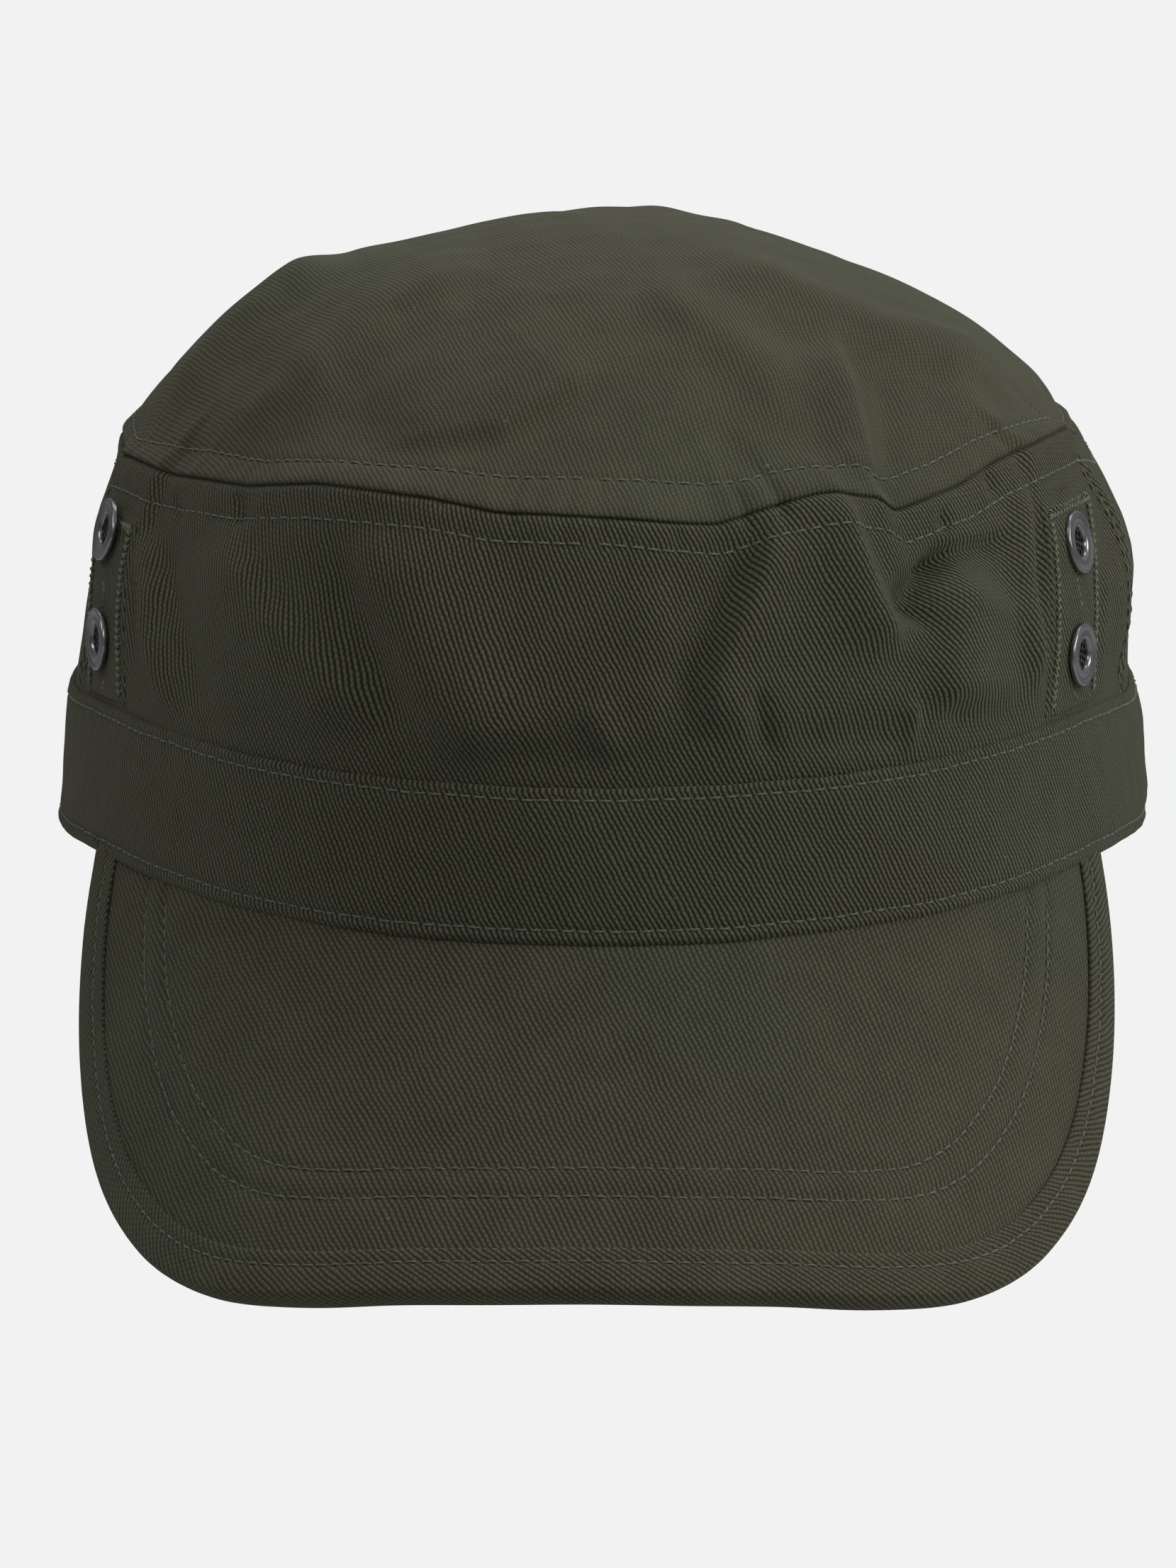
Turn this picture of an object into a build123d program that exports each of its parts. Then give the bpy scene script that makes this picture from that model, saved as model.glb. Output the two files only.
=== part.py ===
"""Soft military field cap (flat-crowned, peaked), sewn from cotton twill, with a visor, vent
eyelets and a buckled rear strap.

Frame: millimetres, +Z up, front of the cap (visor) towards -Y, wearer's left towards +X.
Origin: centre of the head opening, at the height of the lowest part of the band's bottom edge.

The plan outline is a four-arc oval. Every ring-shaped cloth layer is a strip profile swept round
that oval, then trimmed in side view, because the bottom edge rises towards the front where the
visor is sewn on.
"""

import math
import os

from build123d import *

os.makedirs("parts", exist_ok=True)

# ---------------------------------------------------------------- shared dimensions
HALF_WIDTH = 85.5          # outside of the band, side to side, half
HALF_LENGTH = 106.0        # outside of the band, front to back, half
END_RADIUS = 76.0          # front and rear arcs of the oval
END_CENTRE = HALF_LENGTH - END_RADIUS
SIDE_RADIUS = (HALF_WIDTH**2 + END_CENTRE**2 - END_RADIUS**2) / (2 * (HALF_WIDTH - END_RADIUS))
SIDE_CENTRE = SIDE_RADIUS - HALF_WIDTH
TANGENT_DEG = math.degrees(math.atan2(END_CENTRE, SIDE_CENTRE))

CLOTH = 0.9                # one layer of heavy twill
SEAM_GAP = 0.15            # clearance kept between neighbouring pieces
LAYER_GAP = 0.1            # clearance at folded bindings and between visor layers
REACH = 130.0              # beyond the cap in every direction, for cutting solids
SIDES = {"right": -1, "left": 1}

# heights above the band's bottom edge
WALL_FOOT = 1.0            # lower edge of the wall panels
WALL_HEIGHT = 61.4         # crown seam
BAND_HEIGHT = 23.0
SWEAT_FOOT = 0.6
SWEAT_HEIGHT = 28.5

# rear opening
ARCH_HALF = 34.0           # half width
ARCH_SPRING = 14.0         # height where its round top begins
ARCH_RISE = 26.0
ARCH_LEG = 44.0            # length of the straight part below the round top
BINDING_WIDTH = 5.0
BINDING_THICK = 0.6
REAR_FROM_Y = 40.0         # pieces and cuts at the rear opening start here

# bottom edge of the band in side view: (y, z)
EDGE = [
    (-135.0, 7.2), (-106.0, 7.2), (-85.0, 7.0), (-65.0, 6.65), (-50.0, 6.05), (-37.0, 4.7),
    (-25.0, 2.9), (-13.0, 1.2), (0.0, 0.2), (12.0, 0.0), (135.0, 0.0),
]

# outer face of the wall: (inward offset from the oval, z)
WALL = [
    (4.3, -2.0), (4.3, 10.0), (4.3, 20.0), (4.0, 25.0), (3.5, 30.0), (3.4, 36.0),
    (3.7, 42.0), (4.6, 49.0), (6.1, 55.0), (8.4, 61.5), (11.3, 69.0), (12.6, 72.0),
]
# outer face of the crown top: (inward offset from the oval, z)
DOME = [
    (7.4, 57.5), (9.2, 62.2), (12.2, 67.4), (17.5, 71.8), (26.0, 77.4),
    (37.5, 83.9), (50.0, 89.6), (63.0, 93.6), (70.0, 94.8),
]


# ---------------------------------------------------------------- helpers
def oval_arcs(offset=0.0):
    """The oval set in by offset, in the current BuildLine, from (+half width, 0) towards +Y."""
    side = SIDE_RADIUS - offset
    end = END_RADIUS - offset
    turn = TANGENT_DEG
    CenterArc((-SIDE_CENTRE, 0), side, 0, turn)
    CenterArc((0, END_CENTRE), end, turn, 180 - 2 * turn)
    CenterArc((SIDE_CENTRE, 0), side, 180 - turn, 2 * turn)
    CenterArc((0, -END_CENTRE), end, 180 + turn, 180 - 2 * turn)
    CenterArc((-SIDE_CENTRE, 0), side, -turn, turn)


def shifted(points, distance):
    """The points of a polyline moved by distance to the right of travel."""
    moved = []
    for i, (x, y) in enumerate(points):
        before = points[max(i - 1, 0)]
        after = points[min(i + 1, len(points) - 1)]
        dx, dy = after[0] - before[0], after[1] - before[1]
        length = math.hypot(dx, dy)
        moved.append((x + dy / length * distance, y - dx / length * distance))
    return moved


def interpolate(value, known, wanted):
    """Linear lookup of value in the rising list known, read off the list wanted."""
    for i in range(len(known) - 1):
        if value <= known[i + 1]:
            break
    share = (value - known[i]) / (known[i + 1] - known[i])
    return wanted[i] + (wanted[i + 1] - wanted[i]) * share


def strip_face(outer, inner):
    """In the current BuildSketch: a strip between two open curves of (inward offset, z)."""
    outer = [(HALF_WIDTH - offset, z) for offset, z in outer]
    inner = [(HALF_WIDTH - offset, z) for offset, z in inner]
    with BuildLine() as edge:
        for points in (outer, inner):
            curve = Spline if len(points) > 2 else Line
            curve(*points)
        Line(outer[0], inner[0])
        Line(outer[-1], inner[-1])
    make_face(edge.edges())


def side_region(low, high):
    """In a sketch on the YZ plane: between two heights above the band's bottom edge."""
    lower = [(y, z + low) for y, z in EDGE]
    upper = [(y, z + high) for y, z in EDGE]
    with BuildLine() as edge:
        Spline(*lower, tangents=[(1, 0), (1, 0)])
        Spline(*upper, tangents=[(1, 0), (1, 0)])
        Line(lower[0], upper[0])
        Line(lower[-1], upper[-1])
    make_face(edge.edges())


def trim(low, high):
    """In the current BuildPart: keeps what lies between two heights above the bottom edge."""
    with BuildSketch(Plane.YZ) as region:
        side_region(low, high)
    extrude(region.sketch, amount=REACH, both=True, mode=Mode.INTERSECT)


def keep_box(x=(-REACH, REACH), y=(-REACH, REACH), z=(-REACH, REACH)):
    """In the current BuildPart: keeps what lies within the given ranges."""
    with Locations([tuple(sum(limits) / 2 for limits in (x, y, z))]):
        Box(x[1] - x[0], y[1] - y[0], z[1] - z[0], mode=Mode.INTERSECT)


def half_range(side, gap=0.0):
    """The x range on one side of the cap (+1 left, -1 right), starting gap from the centre."""
    return sorted((side * gap, side * REACH))


def wall_strip(outer_depth, inner_depth):
    """Sweeps a layer between two depths below the wall's outer face round the oval."""
    with BuildLine() as path:
        oval_arcs()
    with BuildSketch(Plane.XZ) as section:
        strip_face(shifted(WALL, outer_depth), shifted(WALL, inner_depth))
    sweep(section.sketch, path=path.wires()[0])


def rear_arch(half, mode=Mode.SUBTRACT):
    """In the current BuildPart: cuts (or keeps) an upright arch of this half width at the rear."""
    with BuildSketch(Plane(origin=(0, 45, 0), x_dir=(-1, 0, 0), z_dir=(0, 1, 0))) as arch:
        with Locations((0, ARCH_SPRING)):
            Ellipse(half, ARCH_RISE + half - ARCH_HALF)
        with Locations((0, ARCH_SPRING - ARCH_LEG / 2)):
            Rectangle(2 * half, ARCH_LEG)
    extrude(arch.sketch, amount=80, mode=mode)


def finish(builder, name):
    """Labels a piece and writes its STEP file."""
    builder.part.label = name
    export_step(builder.part, f"parts/{name}.step")


# ---------------------------------------------------------------- eyelet positions
EYELET_Z = (38.0, 54.0)
# lower and upper eyelet on each side, degrees from the X axis towards the front
EYELET_DEG = {1: (23.2, 21.2), -1: (19.2, 17.8)}
EYELET_FLANGE_R = 4.8
EYELET_BORE_R = 2.25
EYELET_BARREL_R = 2.7


def wall_offset(z):
    return interpolate(z, [point[1] for point in WALL], [point[0] for point in WALL])


def eyelet_planes(side, lift=0.0):
    """Planes at the two eyelets of a side, lift outside the wall face, normals outwards."""
    planes = []
    for z, degrees in zip(EYELET_Z, EYELET_DEG[side]):
        angle = math.radians(degrees)
        radius = SIDE_RADIUS - wall_offset(z)
        lean = (wall_offset(z + 1) - wall_offset(z - 1)) / 2
        length = math.hypot(1, lean)
        normal = (side * math.cos(angle) / length, -math.sin(angle) / length, lean / length)
        foot = (side * (radius * math.cos(angle) - SIDE_CENTRE), -radius * math.sin(angle), z)
        origin = tuple(foot[i] + normal[i] * lift for i in range(3))
        planes.append(Plane(origin=origin, x_dir=(-normal[1], normal[0], 0), z_dir=normal))
    return planes


def punch_eyelets(side):
    """In the current BuildPart: clearance holes for the eyelet barrels of a side."""
    for plane in eyelet_planes(side):
        with BuildSketch(plane) as hole:
            Circle(EYELET_BARREL_R + 0.05)
        extrude(hole.sketch, amount=4, both=True, mode=Mode.SUBTRACT)


# ---------------------------------------------------------------- wall panels
SIDE_SEAM_Y = -25.0        # vertical seams between the front and rear wall panels
PANEL_GAP = 0.1            # from a seam's middle to each panel's edge

with BuildPart() as front_wall_panel:
    wall_strip(0, CLOTH)
    trim(WALL_FOOT, WALL_HEIGHT)
    keep_box(y=(-REACH, SIDE_SEAM_Y - PANEL_GAP))
    for side in (1, -1):
        punch_eyelets(side)
finish(front_wall_panel, "front_wall_panel")

for tag, side in SIDES.items():
    with BuildPart() as rear_wall_panel:
        wall_strip(0, CLOTH)
        trim(WALL_FOOT, WALL_HEIGHT)
        keep_box(x=half_range(side, PANEL_GAP), y=(SIDE_SEAM_Y + PANEL_GAP, REACH))
        rear_arch(ARCH_HALF + BINDING_THICK + SEAM_GAP)
    finish(rear_wall_panel, f"rear_wall_panel_{tag}")

# ---------------------------------------------------------------- crown top
with BuildPart() as crown_top:
    for offset, z in DOME:
        with BuildSketch(Plane.XY.offset(z)):
            with BuildLine():
                oval_arcs(offset)
            make_face()
    loft()
    dome_inside = shifted(DOME, CLOTH)
    with BuildPart(mode=Mode.PRIVATE) as crown_void:
        for offset, z in dome_inside:
            with BuildSketch(Plane.XY.offset(z)):
                with BuildLine():
                    oval_arcs(offset)
                make_face()
        loft()
        # carries the void down through the open underside
        with BuildSketch(Plane.XY.offset(dome_inside[0][1])):
            with BuildLine():
                oval_arcs(dome_inside[0][0])
            make_face()
        extrude(amount=-8)
    add(crown_void.part, mode=Mode.SUBTRACT)
    trim(WALL_HEIGHT + SEAM_GAP, REACH)
finish(crown_top, "crown_top")

# ---------------------------------------------------------------- seam tapes and binding
TAPE_THICK = 0.45
TAPE_HALF = 4.5            # half width of the upright tapes
CROWN_TAPE_LOW = WALL_HEIGHT - 7.6
CROWN_TAPE_HIGH = WALL_HEIGHT - 0.8
UPRIGHT_TAPE_TOP = WALL_HEIGHT - 8.2


def tape_strip(low, high):
    """In the current BuildPart: a ring of tape inside the wall, between two edge heights."""
    wall_strip(CLOTH + SEAM_GAP, CLOTH + SEAM_GAP + TAPE_THICK)
    trim(low, high)


with BuildPart() as crown_seam_tape:
    tape_strip(CROWN_TAPE_LOW, CROWN_TAPE_HIGH)
finish(crown_seam_tape, "crown_seam_tape")

for tag, side in SIDES.items():
    with BuildPart() as side_seam_tape:
        tape_strip(SWEAT_HEIGHT + 1.2, UPRIGHT_TAPE_TOP)
        keep_box(x=half_range(side), y=(SIDE_SEAM_Y - TAPE_HALF, SIDE_SEAM_Y + TAPE_HALF))
    finish(side_seam_tape, f"side_seam_tape_{tag}")

with BuildPart() as rear_seam_tape:
    tape_strip(ARCH_SPRING + ARCH_RISE + BINDING_WIDTH + 0.3, UPRIGHT_TAPE_TOP)
    keep_box(x=(-TAPE_HALF, TAPE_HALF), y=(REAR_FROM_Y, REACH))
finish(rear_seam_tape, "rear_seam_tape")

# folded round the edge of the rear opening, on both faces of the wall
with BuildPart() as rear_opening_binding:
    wall_strip(-BINDING_THICK - LAYER_GAP, CLOTH + BINDING_THICK + LAYER_GAP)
    trim(WALL_FOOT, WALL_HEIGHT)
    keep_box(x=(-60, 60), y=(REAR_FROM_Y, REACH))
    rear_arch(ARCH_HALF + BINDING_WIDTH, Mode.INTERSECT)
    rear_arch(ARCH_HALF)
    with BuildPart(mode=Mode.PRIVATE) as binding_slot:
        wall_strip(-LAYER_GAP, CLOTH + LAYER_GAP)
        keep_box(x=(-70, 70), y=(REAR_FROM_Y, REACH))
        rear_arch(ARCH_HALF + BINDING_THICK)
    add(binding_slot.part, mode=Mode.SUBTRACT)
finish(rear_opening_binding, "rear_opening_binding")

# ---------------------------------------------------------------- band and sweatband
BAND_THICK = 1.3           # folded double cloth
BAND_LEAN = 0.03           # inward lean of the band, mm per mm of height
SWEAT_OFFSET = 5.5         # sweatband's outer face, in from the oval
SWEAT_THICK = 1.1
LABEL_THICK = 0.35
LABEL_OFFSET = SWEAT_OFFSET + SWEAT_THICK + SEAM_GAP


def band_offset(z):
    return BAND_LEAN * z


def open_ring(name, bottom, top, thick, low, high):
    """A straight-sided ring, open at the rear arch.

    bottom and top are (inward offset, z) on its outer face; low and high are edge heights.
    """
    with BuildPart() as ring:
        with BuildLine():
            oval_arcs()
        with BuildSketch(Plane.XZ):
            strip_face([bottom, top], [(offset + thick, z) for offset, z in (bottom, top)])
        sweep()
        trim(low, high)
        with Locations((0, REAR_FROM_Y + 50, 10)):
            Box(2 * (ARCH_HALF + BINDING_WIDTH + 0.4), 100, 120, mode=Mode.SUBTRACT)
    finish(ring, name)


open_ring("band", (band_offset(-4), -4), (band_offset(36), 36), BAND_THICK, 0.0, BAND_HEIGHT)
open_ring("sweatband", (SWEAT_OFFSET, -4), (SWEAT_OFFSET, 40), SWEAT_THICK,
          SWEAT_FOOT, SWEAT_HEIGHT)

# on the sweatband's inner face, right rear
with BuildPart() as size_label:
    with BuildLine():
        oval_arcs()
    with BuildSketch(Plane.XZ):
        label_inner = LABEL_OFFSET + LABEL_THICK
        strip_face([(LABEL_OFFSET, 4), (LABEL_OFFSET, 22)], [(label_inner, 4), (label_inner, 22)])
    sweep()
    keep_box(x=(-98, -50), y=(44, 66))
finish(size_label, "size_label")

# ---------------------------------------------------------------- vent eyelets
PATCH_HALF_DEG = 4.8
PATCH_SHIFT_DEG = 0.4      # patch middle, forward of the eyelets' mean angle
PATCH_RADIUS = SIDE_RADIUS - 3.6
PATCH_Z = (29.6, 59.0)
PATCH_THICK = 0.6
PATCH_GAP = 0.05

FLANGE_LIFT = PATCH_THICK + 0.15   # underside of the flange, outside the wall face
BARREL_END = -3.05                 # inner end of the barrel, from the flange's underside
WASHER_LIFT = -CLOTH - 0.95
WASHER_THICK = 0.5
SCREEN_LIFT = PATCH_THICK + 0.3
SCREEN_THICK = 0.3

# eyelet section: (radius, height above the flange's underside)
EYELET_INSIDE = [
    (EYELET_FLANGE_R - 0.45, 0.0), (EYELET_BORE_R + 0.35, 0.0), (EYELET_BARREL_R, -0.3),
    (EYELET_BARREL_R, BARREL_END), (EYELET_BORE_R, BARREL_END), (EYELET_BORE_R, 0.5),
]
EYELET_CROWN = [
    (EYELET_BORE_R, 0.5), (EYELET_BORE_R + 0.7, 1.05),
    (EYELET_FLANGE_R - 1.1, 0.94), (EYELET_FLANGE_R, 0.4),
]

for tag, side in SIDES.items():
    with BuildPart() as eyelet_patch:
        wall_strip(-PATCH_THICK - PATCH_GAP, -PATCH_GAP)
        patch_deg = sum(EYELET_DEG[side]) / 2 + PATCH_SHIFT_DEG
        y_front = -PATCH_RADIUS * math.sin(math.radians(patch_deg + PATCH_HALF_DEG))
        y_rear = -PATCH_RADIUS * math.sin(math.radians(patch_deg - PATCH_HALF_DEG))
        keep_box(half_range(side), (y_front, y_rear), PATCH_Z)
        punch_eyelets(side)
    finish(eyelet_patch, f"eyelet_patch_{tag}")

    with BuildPart() as eyelets:
        for plane in eyelet_planes(side, FLANGE_LIFT):
            with BuildSketch(plane * Plane.XZ):
                with BuildLine():
                    Polyline(*EYELET_INSIDE)
                    Spline(*EYELET_CROWN, tangents=[(0.25, 1), (-0.1, -1)])
                    Line(EYELET_CROWN[-1], EYELET_INSIDE[0])
                make_face()
            revolve(axis=Axis(plane.origin, plane.z_dir), revolution_arc=360)
    finish(eyelets, f"eyelets_{tag}")

    with BuildPart() as eyelet_washers:
        for plane in eyelet_planes(side, WASHER_LIFT):
            with BuildSketch(plane):
                Circle(EYELET_FLANGE_R)
                Circle(EYELET_BARREL_R + 0.06, mode=Mode.SUBTRACT)
            extrude(amount=WASHER_THICK)
    finish(eyelet_washers, f"eyelet_washers_{tag}")

    # perforated discs with an outer ring of 8 holes and an inner ring of 4
    with BuildPart() as eyelet_screens:
        for plane in eyelet_planes(side, SCREEN_LIFT):
            with BuildSketch(plane):
                Circle(EYELET_BORE_R - 0.03)
                with PolarLocations(1.5, 8):
                    Circle(0.42, mode=Mode.SUBTRACT)
                with PolarLocations(0.66, 4, 22.5):
                    Circle(0.34, mode=Mode.SUBTRACT)
            extrude(amount=SCREEN_THICK)
    finish(eyelet_screens, f"eyelet_screens_{tag}")

# ---------------------------------------------------------------- visor
VISOR_SLOPE = math.radians(40.0)     # below horizontal at the centre line
VISOR_ROOT = (0, -HALF_LENGTH, 6.75)
BOARD_THICK = 1.4
VISOR_BIND_WIDTH = 7.4
VISOR_BIND_THICK = 0.6

# depths below the visor's upper face
COVER_BOTTOM = CLOTH
BOARD_TOP = COVER_BOTTOM + LAYER_GAP
BOARD_BOTTOM = BOARD_TOP + BOARD_THICK
UNDER_TOP = BOARD_BOTTOM + LAYER_GAP
UNDER_BOTTOM = UNDER_TOP + CLOTH

# lateral arch: half widths x, and the drop at each
ARCH_X = [0.0, 14.0, 27.0, 44.0, 62.0, 76.0, 80.0, 84.0]
ARCH_DROP = [0.0, 0.85, 3.2, 9.1, 21.0, 38.1, 44.5, 52.0]
# right half of the outline on the visor's own axes: (x, distance forward of the seam)
OUTLINE = [
    (0.0, 58.9), (16.0, 58.4), (30.0, 56.8), (38.0, 55.3), (46.0, 52.8), (53.1, 49.5),
    (59.3, 45.0), (64.5, 38.9), (68.5, 31.3), (71.4, 23.9), (74.3, 13.3), (76.5, 0.2),
    (77.7, -12.6), (78.0, -24.0), (77.5, -36.0), (76.2, -50.0),
]

# across the visor: local y is the drop
VISOR_SECTION = Plane(
    origin=VISOR_ROOT, x_dir=(1, 0, 0), z_dir=(0, math.cos(VISOR_SLOPE), math.sin(VISOR_SLOPE))
)
# along the visor: local y points back towards the seam
VISOR_PLAN = Plane(
    origin=VISOR_ROOT, x_dir=(1, 0, 0), z_dir=(0, -math.sin(VISOR_SLOPE), math.cos(VISOR_SLOPE))
)


def mirrored(points):
    """A whole curve from the half that starts on the centre line."""
    return [(-x, y) for x, y in reversed(points[1:])] + points


def arch_length(x):
    """Distance along the lateral arch from the centre line to half width x."""
    steps = 200
    total, last_x, last_drop = 0.0, 0.0, 0.0
    for i in range(1, steps + 1):
        next_x = x * i / steps
        next_drop = interpolate(next_x, ARCH_X, ARCH_DROP)
        total += math.hypot(next_x - last_x, next_drop - last_drop)
        last_x, last_drop = next_x, next_drop
    return total


ARCH_CURVE = mirrored(list(zip(ARCH_X, ARCH_DROP)))
LENGTH_X = [i / 4 for i in range(333)]
LENGTHS = [arch_length(x) for x in LENGTH_X]


def inset_outline(inset):
    """Half outline set in by inset along the visor's surface, as (x, forward)."""
    flat = [(arch_length(x), forward) for x, forward in OUTLINE]
    moved = shifted(flat, inset)
    moved[0] = (0.0, OUTLINE[0][1] - inset)
    return [(interpolate(max(run, 0), LENGTHS, LENGTH_X), forward) for run, forward in moved]


def visor_outline_face(inset):
    """In a sketch on the visor plan: the outline, closed across the rear."""
    half = inset_outline(inset) if inset else OUTLINE
    points = mirrored([(x, -forward) for x, forward in half])
    with BuildLine() as edge:
        Spline(*points)
        Line(points[0], points[-1])
    make_face(edge.edges())


def visor_layer(top, bottom, inset):
    """A layer between two depths below the upper face, cut to the outline set in by inset."""
    upper = shifted(ARCH_CURVE, -top)
    lower = shifted(ARCH_CURVE, -bottom)
    with BuildSketch(VISOR_SECTION) as section:
        with BuildLine():
            Spline(*upper)
            Spline(*lower)
            Line(upper[0], lower[0])
            Line(upper[-1], lower[-1])
        make_face()
    extrude(section.sketch, amount=75, both=True)
    with BuildSketch(VISOR_PLAN) as plan:
        visor_outline_face(inset)
    extrude(plan.sketch, amount=90, both=True, mode=Mode.INTERSECT)


def cut_visor_root(gap):
    """Ends the visor at the band's outer face and gap below its bottom edge."""
    with BuildSketch(Plane.XY.offset(-60)) as inside:
        with BuildLine():
            oval_arcs(0.6)
        make_face()
    extrude(inside.sketch, amount=120, mode=Mode.SUBTRACT)
    with BuildSketch(Plane.YZ) as above_edge:
        side_region(-gap, 90)
        # spares what lies in front of the band
        with Locations((-(HALF_LENGTH - 0.1) - 65, 0)):
            Rectangle(130, 300, mode=Mode.SUBTRACT)
    extrude(above_edge.sketch, amount=REACH, both=True, mode=Mode.SUBTRACT)


TOP_ROOT_GAP = 0.3
LOWER_ROOT_GAP = 0.9
COVER_INSET = VISOR_BIND_THICK + 0.3
BOARD_INSET = VISOR_BIND_THICK + 0.4

# name, top depth, bottom depth, inset, gap under the band
VISOR_LAYERS = [
    ("visor_top_cover", 0, COVER_BOTTOM, COVER_INSET, TOP_ROOT_GAP),
    ("visor_board", BOARD_TOP, BOARD_BOTTOM, BOARD_INSET, LOWER_ROOT_GAP),
    ("visor_under_cover", UNDER_TOP, UNDER_BOTTOM, COVER_INSET, LOWER_ROOT_GAP),
]
for name, top, bottom, inset, gap in VISOR_LAYERS:
    with BuildPart() as layer:
        visor_layer(top, bottom, inset)
        cut_visor_root(gap)
    finish(layer, name)

# folded round the visor's free edge
with BuildPart() as visor_binding:
    fold = VISOR_BIND_THICK + LAYER_GAP
    visor_layer(-fold, UNDER_BOTTOM + fold, 0)
    with BuildPart(mode=Mode.PRIVATE) as binding_window:
        visor_layer(-4, UNDER_BOTTOM + 4, VISOR_BIND_WIDTH)
    add(binding_window.part, mode=Mode.SUBTRACT)
    with BuildPart(mode=Mode.PRIVATE) as binding_groove:
        visor_layer(-LAYER_GAP, UNDER_BOTTOM + LAYER_GAP, VISOR_BIND_THICK + 0.15)
    add(binding_groove.part, mode=Mode.SUBTRACT)
    cut_visor_root(TOP_ROOT_GAP)
finish(visor_binding, "visor_binding")

# ---------------------------------------------------------------- rear strap
STRAP_WIDTH = 19.0
STRAP_LOW = 2.0
STRAP_HIGH = STRAP_LOW + STRAP_WIDTH
STRAP_MID = STRAP_LOW + STRAP_WIDTH / 2
STRAP_THICK = 1.2
STRAP_FROM, STRAP_TO = -50.0, 38.0   # degrees round the rear arc from +Y, + towards +X


def strap_y(z):
    """The strap's outer face on the centre line."""
    return END_CENTRE + END_RADIUS - (band_offset(z) + BAND_THICK + 0.2)


with BuildPart() as strap:
    for end_deg in (STRAP_TO, STRAP_FROM):
        with BuildSketch(Plane.YZ):
            with BuildLine():
                Polyline(
                    (strap_y(STRAP_LOW), STRAP_LOW),
                    (strap_y(STRAP_HIGH), STRAP_HIGH),
                    (strap_y(STRAP_HIGH) - STRAP_THICK, STRAP_HIGH),
                    (strap_y(STRAP_LOW) - STRAP_THICK, STRAP_LOW),
                    close=True,
                )
            make_face()
        revolve(axis=Axis((0, END_CENTRE, 0), (0, 0, 1)), revolution_arc=-end_deg)
finish(strap, "strap")

# ---------------------------------------------------------------- buckle
# Buckle sections are drawn as (x along the arc towards +X, distance from the arc's centre).
BUCKLE_DEG = 17.0
BUCKLE_HALF = 9.0
BASE_IN, BASE_OUT = 70.1, 71.1         # base plate, behind the strap
BASE_MID = (BASE_IN + BASE_OUT) / 2
PIN_R = 0.8
PIN_X = 2.5
PIN = (PIN_X, 78.0)
EAR = 1.4                              # thickness of the ears
EAR_IN = STRAP_WIDTH / 2 + 0.75        # inner face of each ear, from the strap's middle
EAR_MID = EAR_IN + EAR / 2
BAR_X, BAR_RADIUS, BAR_R = 7.4, 78.3, 1.0   # bar that holds the fabric loop

EAR_TOP = [(BUCKLE_HALF, 78.6), (BAR_X, 80.0), (PIN_X, 79.9), (-3.5, 77.0), (-BUCKLE_HALF, 74.0)]
LEVER = [
    (PIN_X, 80.1), (-1.5, 79.6), (-6.5, 78.0), (-12.2, 77.3), (-12.4, 76.3), (-6.5, 76.7),
    (-2.5, 77.6), (0.2, 76.9), (PIN_X - 1.0, 75.1), (PIN_X + 0.3, 74.95), (PIN_X + 1.5, 76.4),
    (PIN_X + 2.05, 77.6), (PIN_X + 1.6, 79.3),
]

buckle_angle = math.radians(BUCKLE_DEG)
BUCKLE_SECTION = Plane(
    origin=(0, END_CENTRE, STRAP_MID),
    x_dir=(math.cos(buckle_angle), -math.sin(buckle_angle), 0),
    z_dir=(0, 0, 1),
)

with BuildPart() as buckle_frame:
    # ears above and below the strap
    for side in (1, -1):
        with BuildSketch(BUCKLE_SECTION.offset(side * EAR_MID)):
            with BuildLine():
                Polyline((-BUCKLE_HALF, BASE_IN), (BUCKLE_HALF, BASE_IN), EAR_TOP[0])
                Spline(*EAR_TOP)
                Line(EAR_TOP[-1], (-BUCKLE_HALF, BASE_IN))
            make_face()
            with Locations(PIN):
                Circle(PIN_R, mode=Mode.SUBTRACT)
        extrude(amount=EAR / 2, both=True)
    # base plate and its window
    with BuildSketch(BUCKLE_SECTION):
        with Locations((0, BASE_MID)):
            Rectangle(2 * BUCKLE_HALF, BASE_OUT - BASE_IN)
    extrude(amount=EAR_MID, both=True)
    with BuildSketch(BUCKLE_SECTION):
        with Locations((1.0, BASE_MID)):
            Rectangle(BUCKLE_HALF, 4)
    extrude(amount=EAR_IN - 3.0, both=True, mode=Mode.SUBTRACT)
    # loop bar
    with BuildSketch(BUCKLE_SECTION):
        with Locations((BAR_X, BAR_RADIUS)):
            Circle(BAR_R)
    extrude(amount=EAR_MID, both=True)
finish(buckle_frame, "buckle_frame")

with BuildPart() as buckle_pin:
    with BuildSketch(BUCKLE_SECTION):
        with Locations(PIN):
            Circle(PIN_R)
    extrude(amount=EAR_IN + EAR + 0.25, both=True)
finish(buckle_pin, "buckle_pin")

with BuildPart() as buckle_lever:
    with BuildSketch(BUCKLE_SECTION):
        with BuildLine():
            Polyline(*LEVER, close=True)
        make_face()
        # rounds the corners more than 0.7 from this point
        spared = BUCKLE_SECTION.from_local_coords(Vector(-12.3, 76.8, 0))
        fillet([v for v in vertices() if v.distance_to(spared) > 0.7], radius=0.35)
        with Locations(PIN):
            Circle(PIN_R + 0.05, mode=Mode.SUBTRACT)
    extrude(amount=EAR_IN - 0.35, both=True)
finish(buckle_lever, "buckle_lever")

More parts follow.
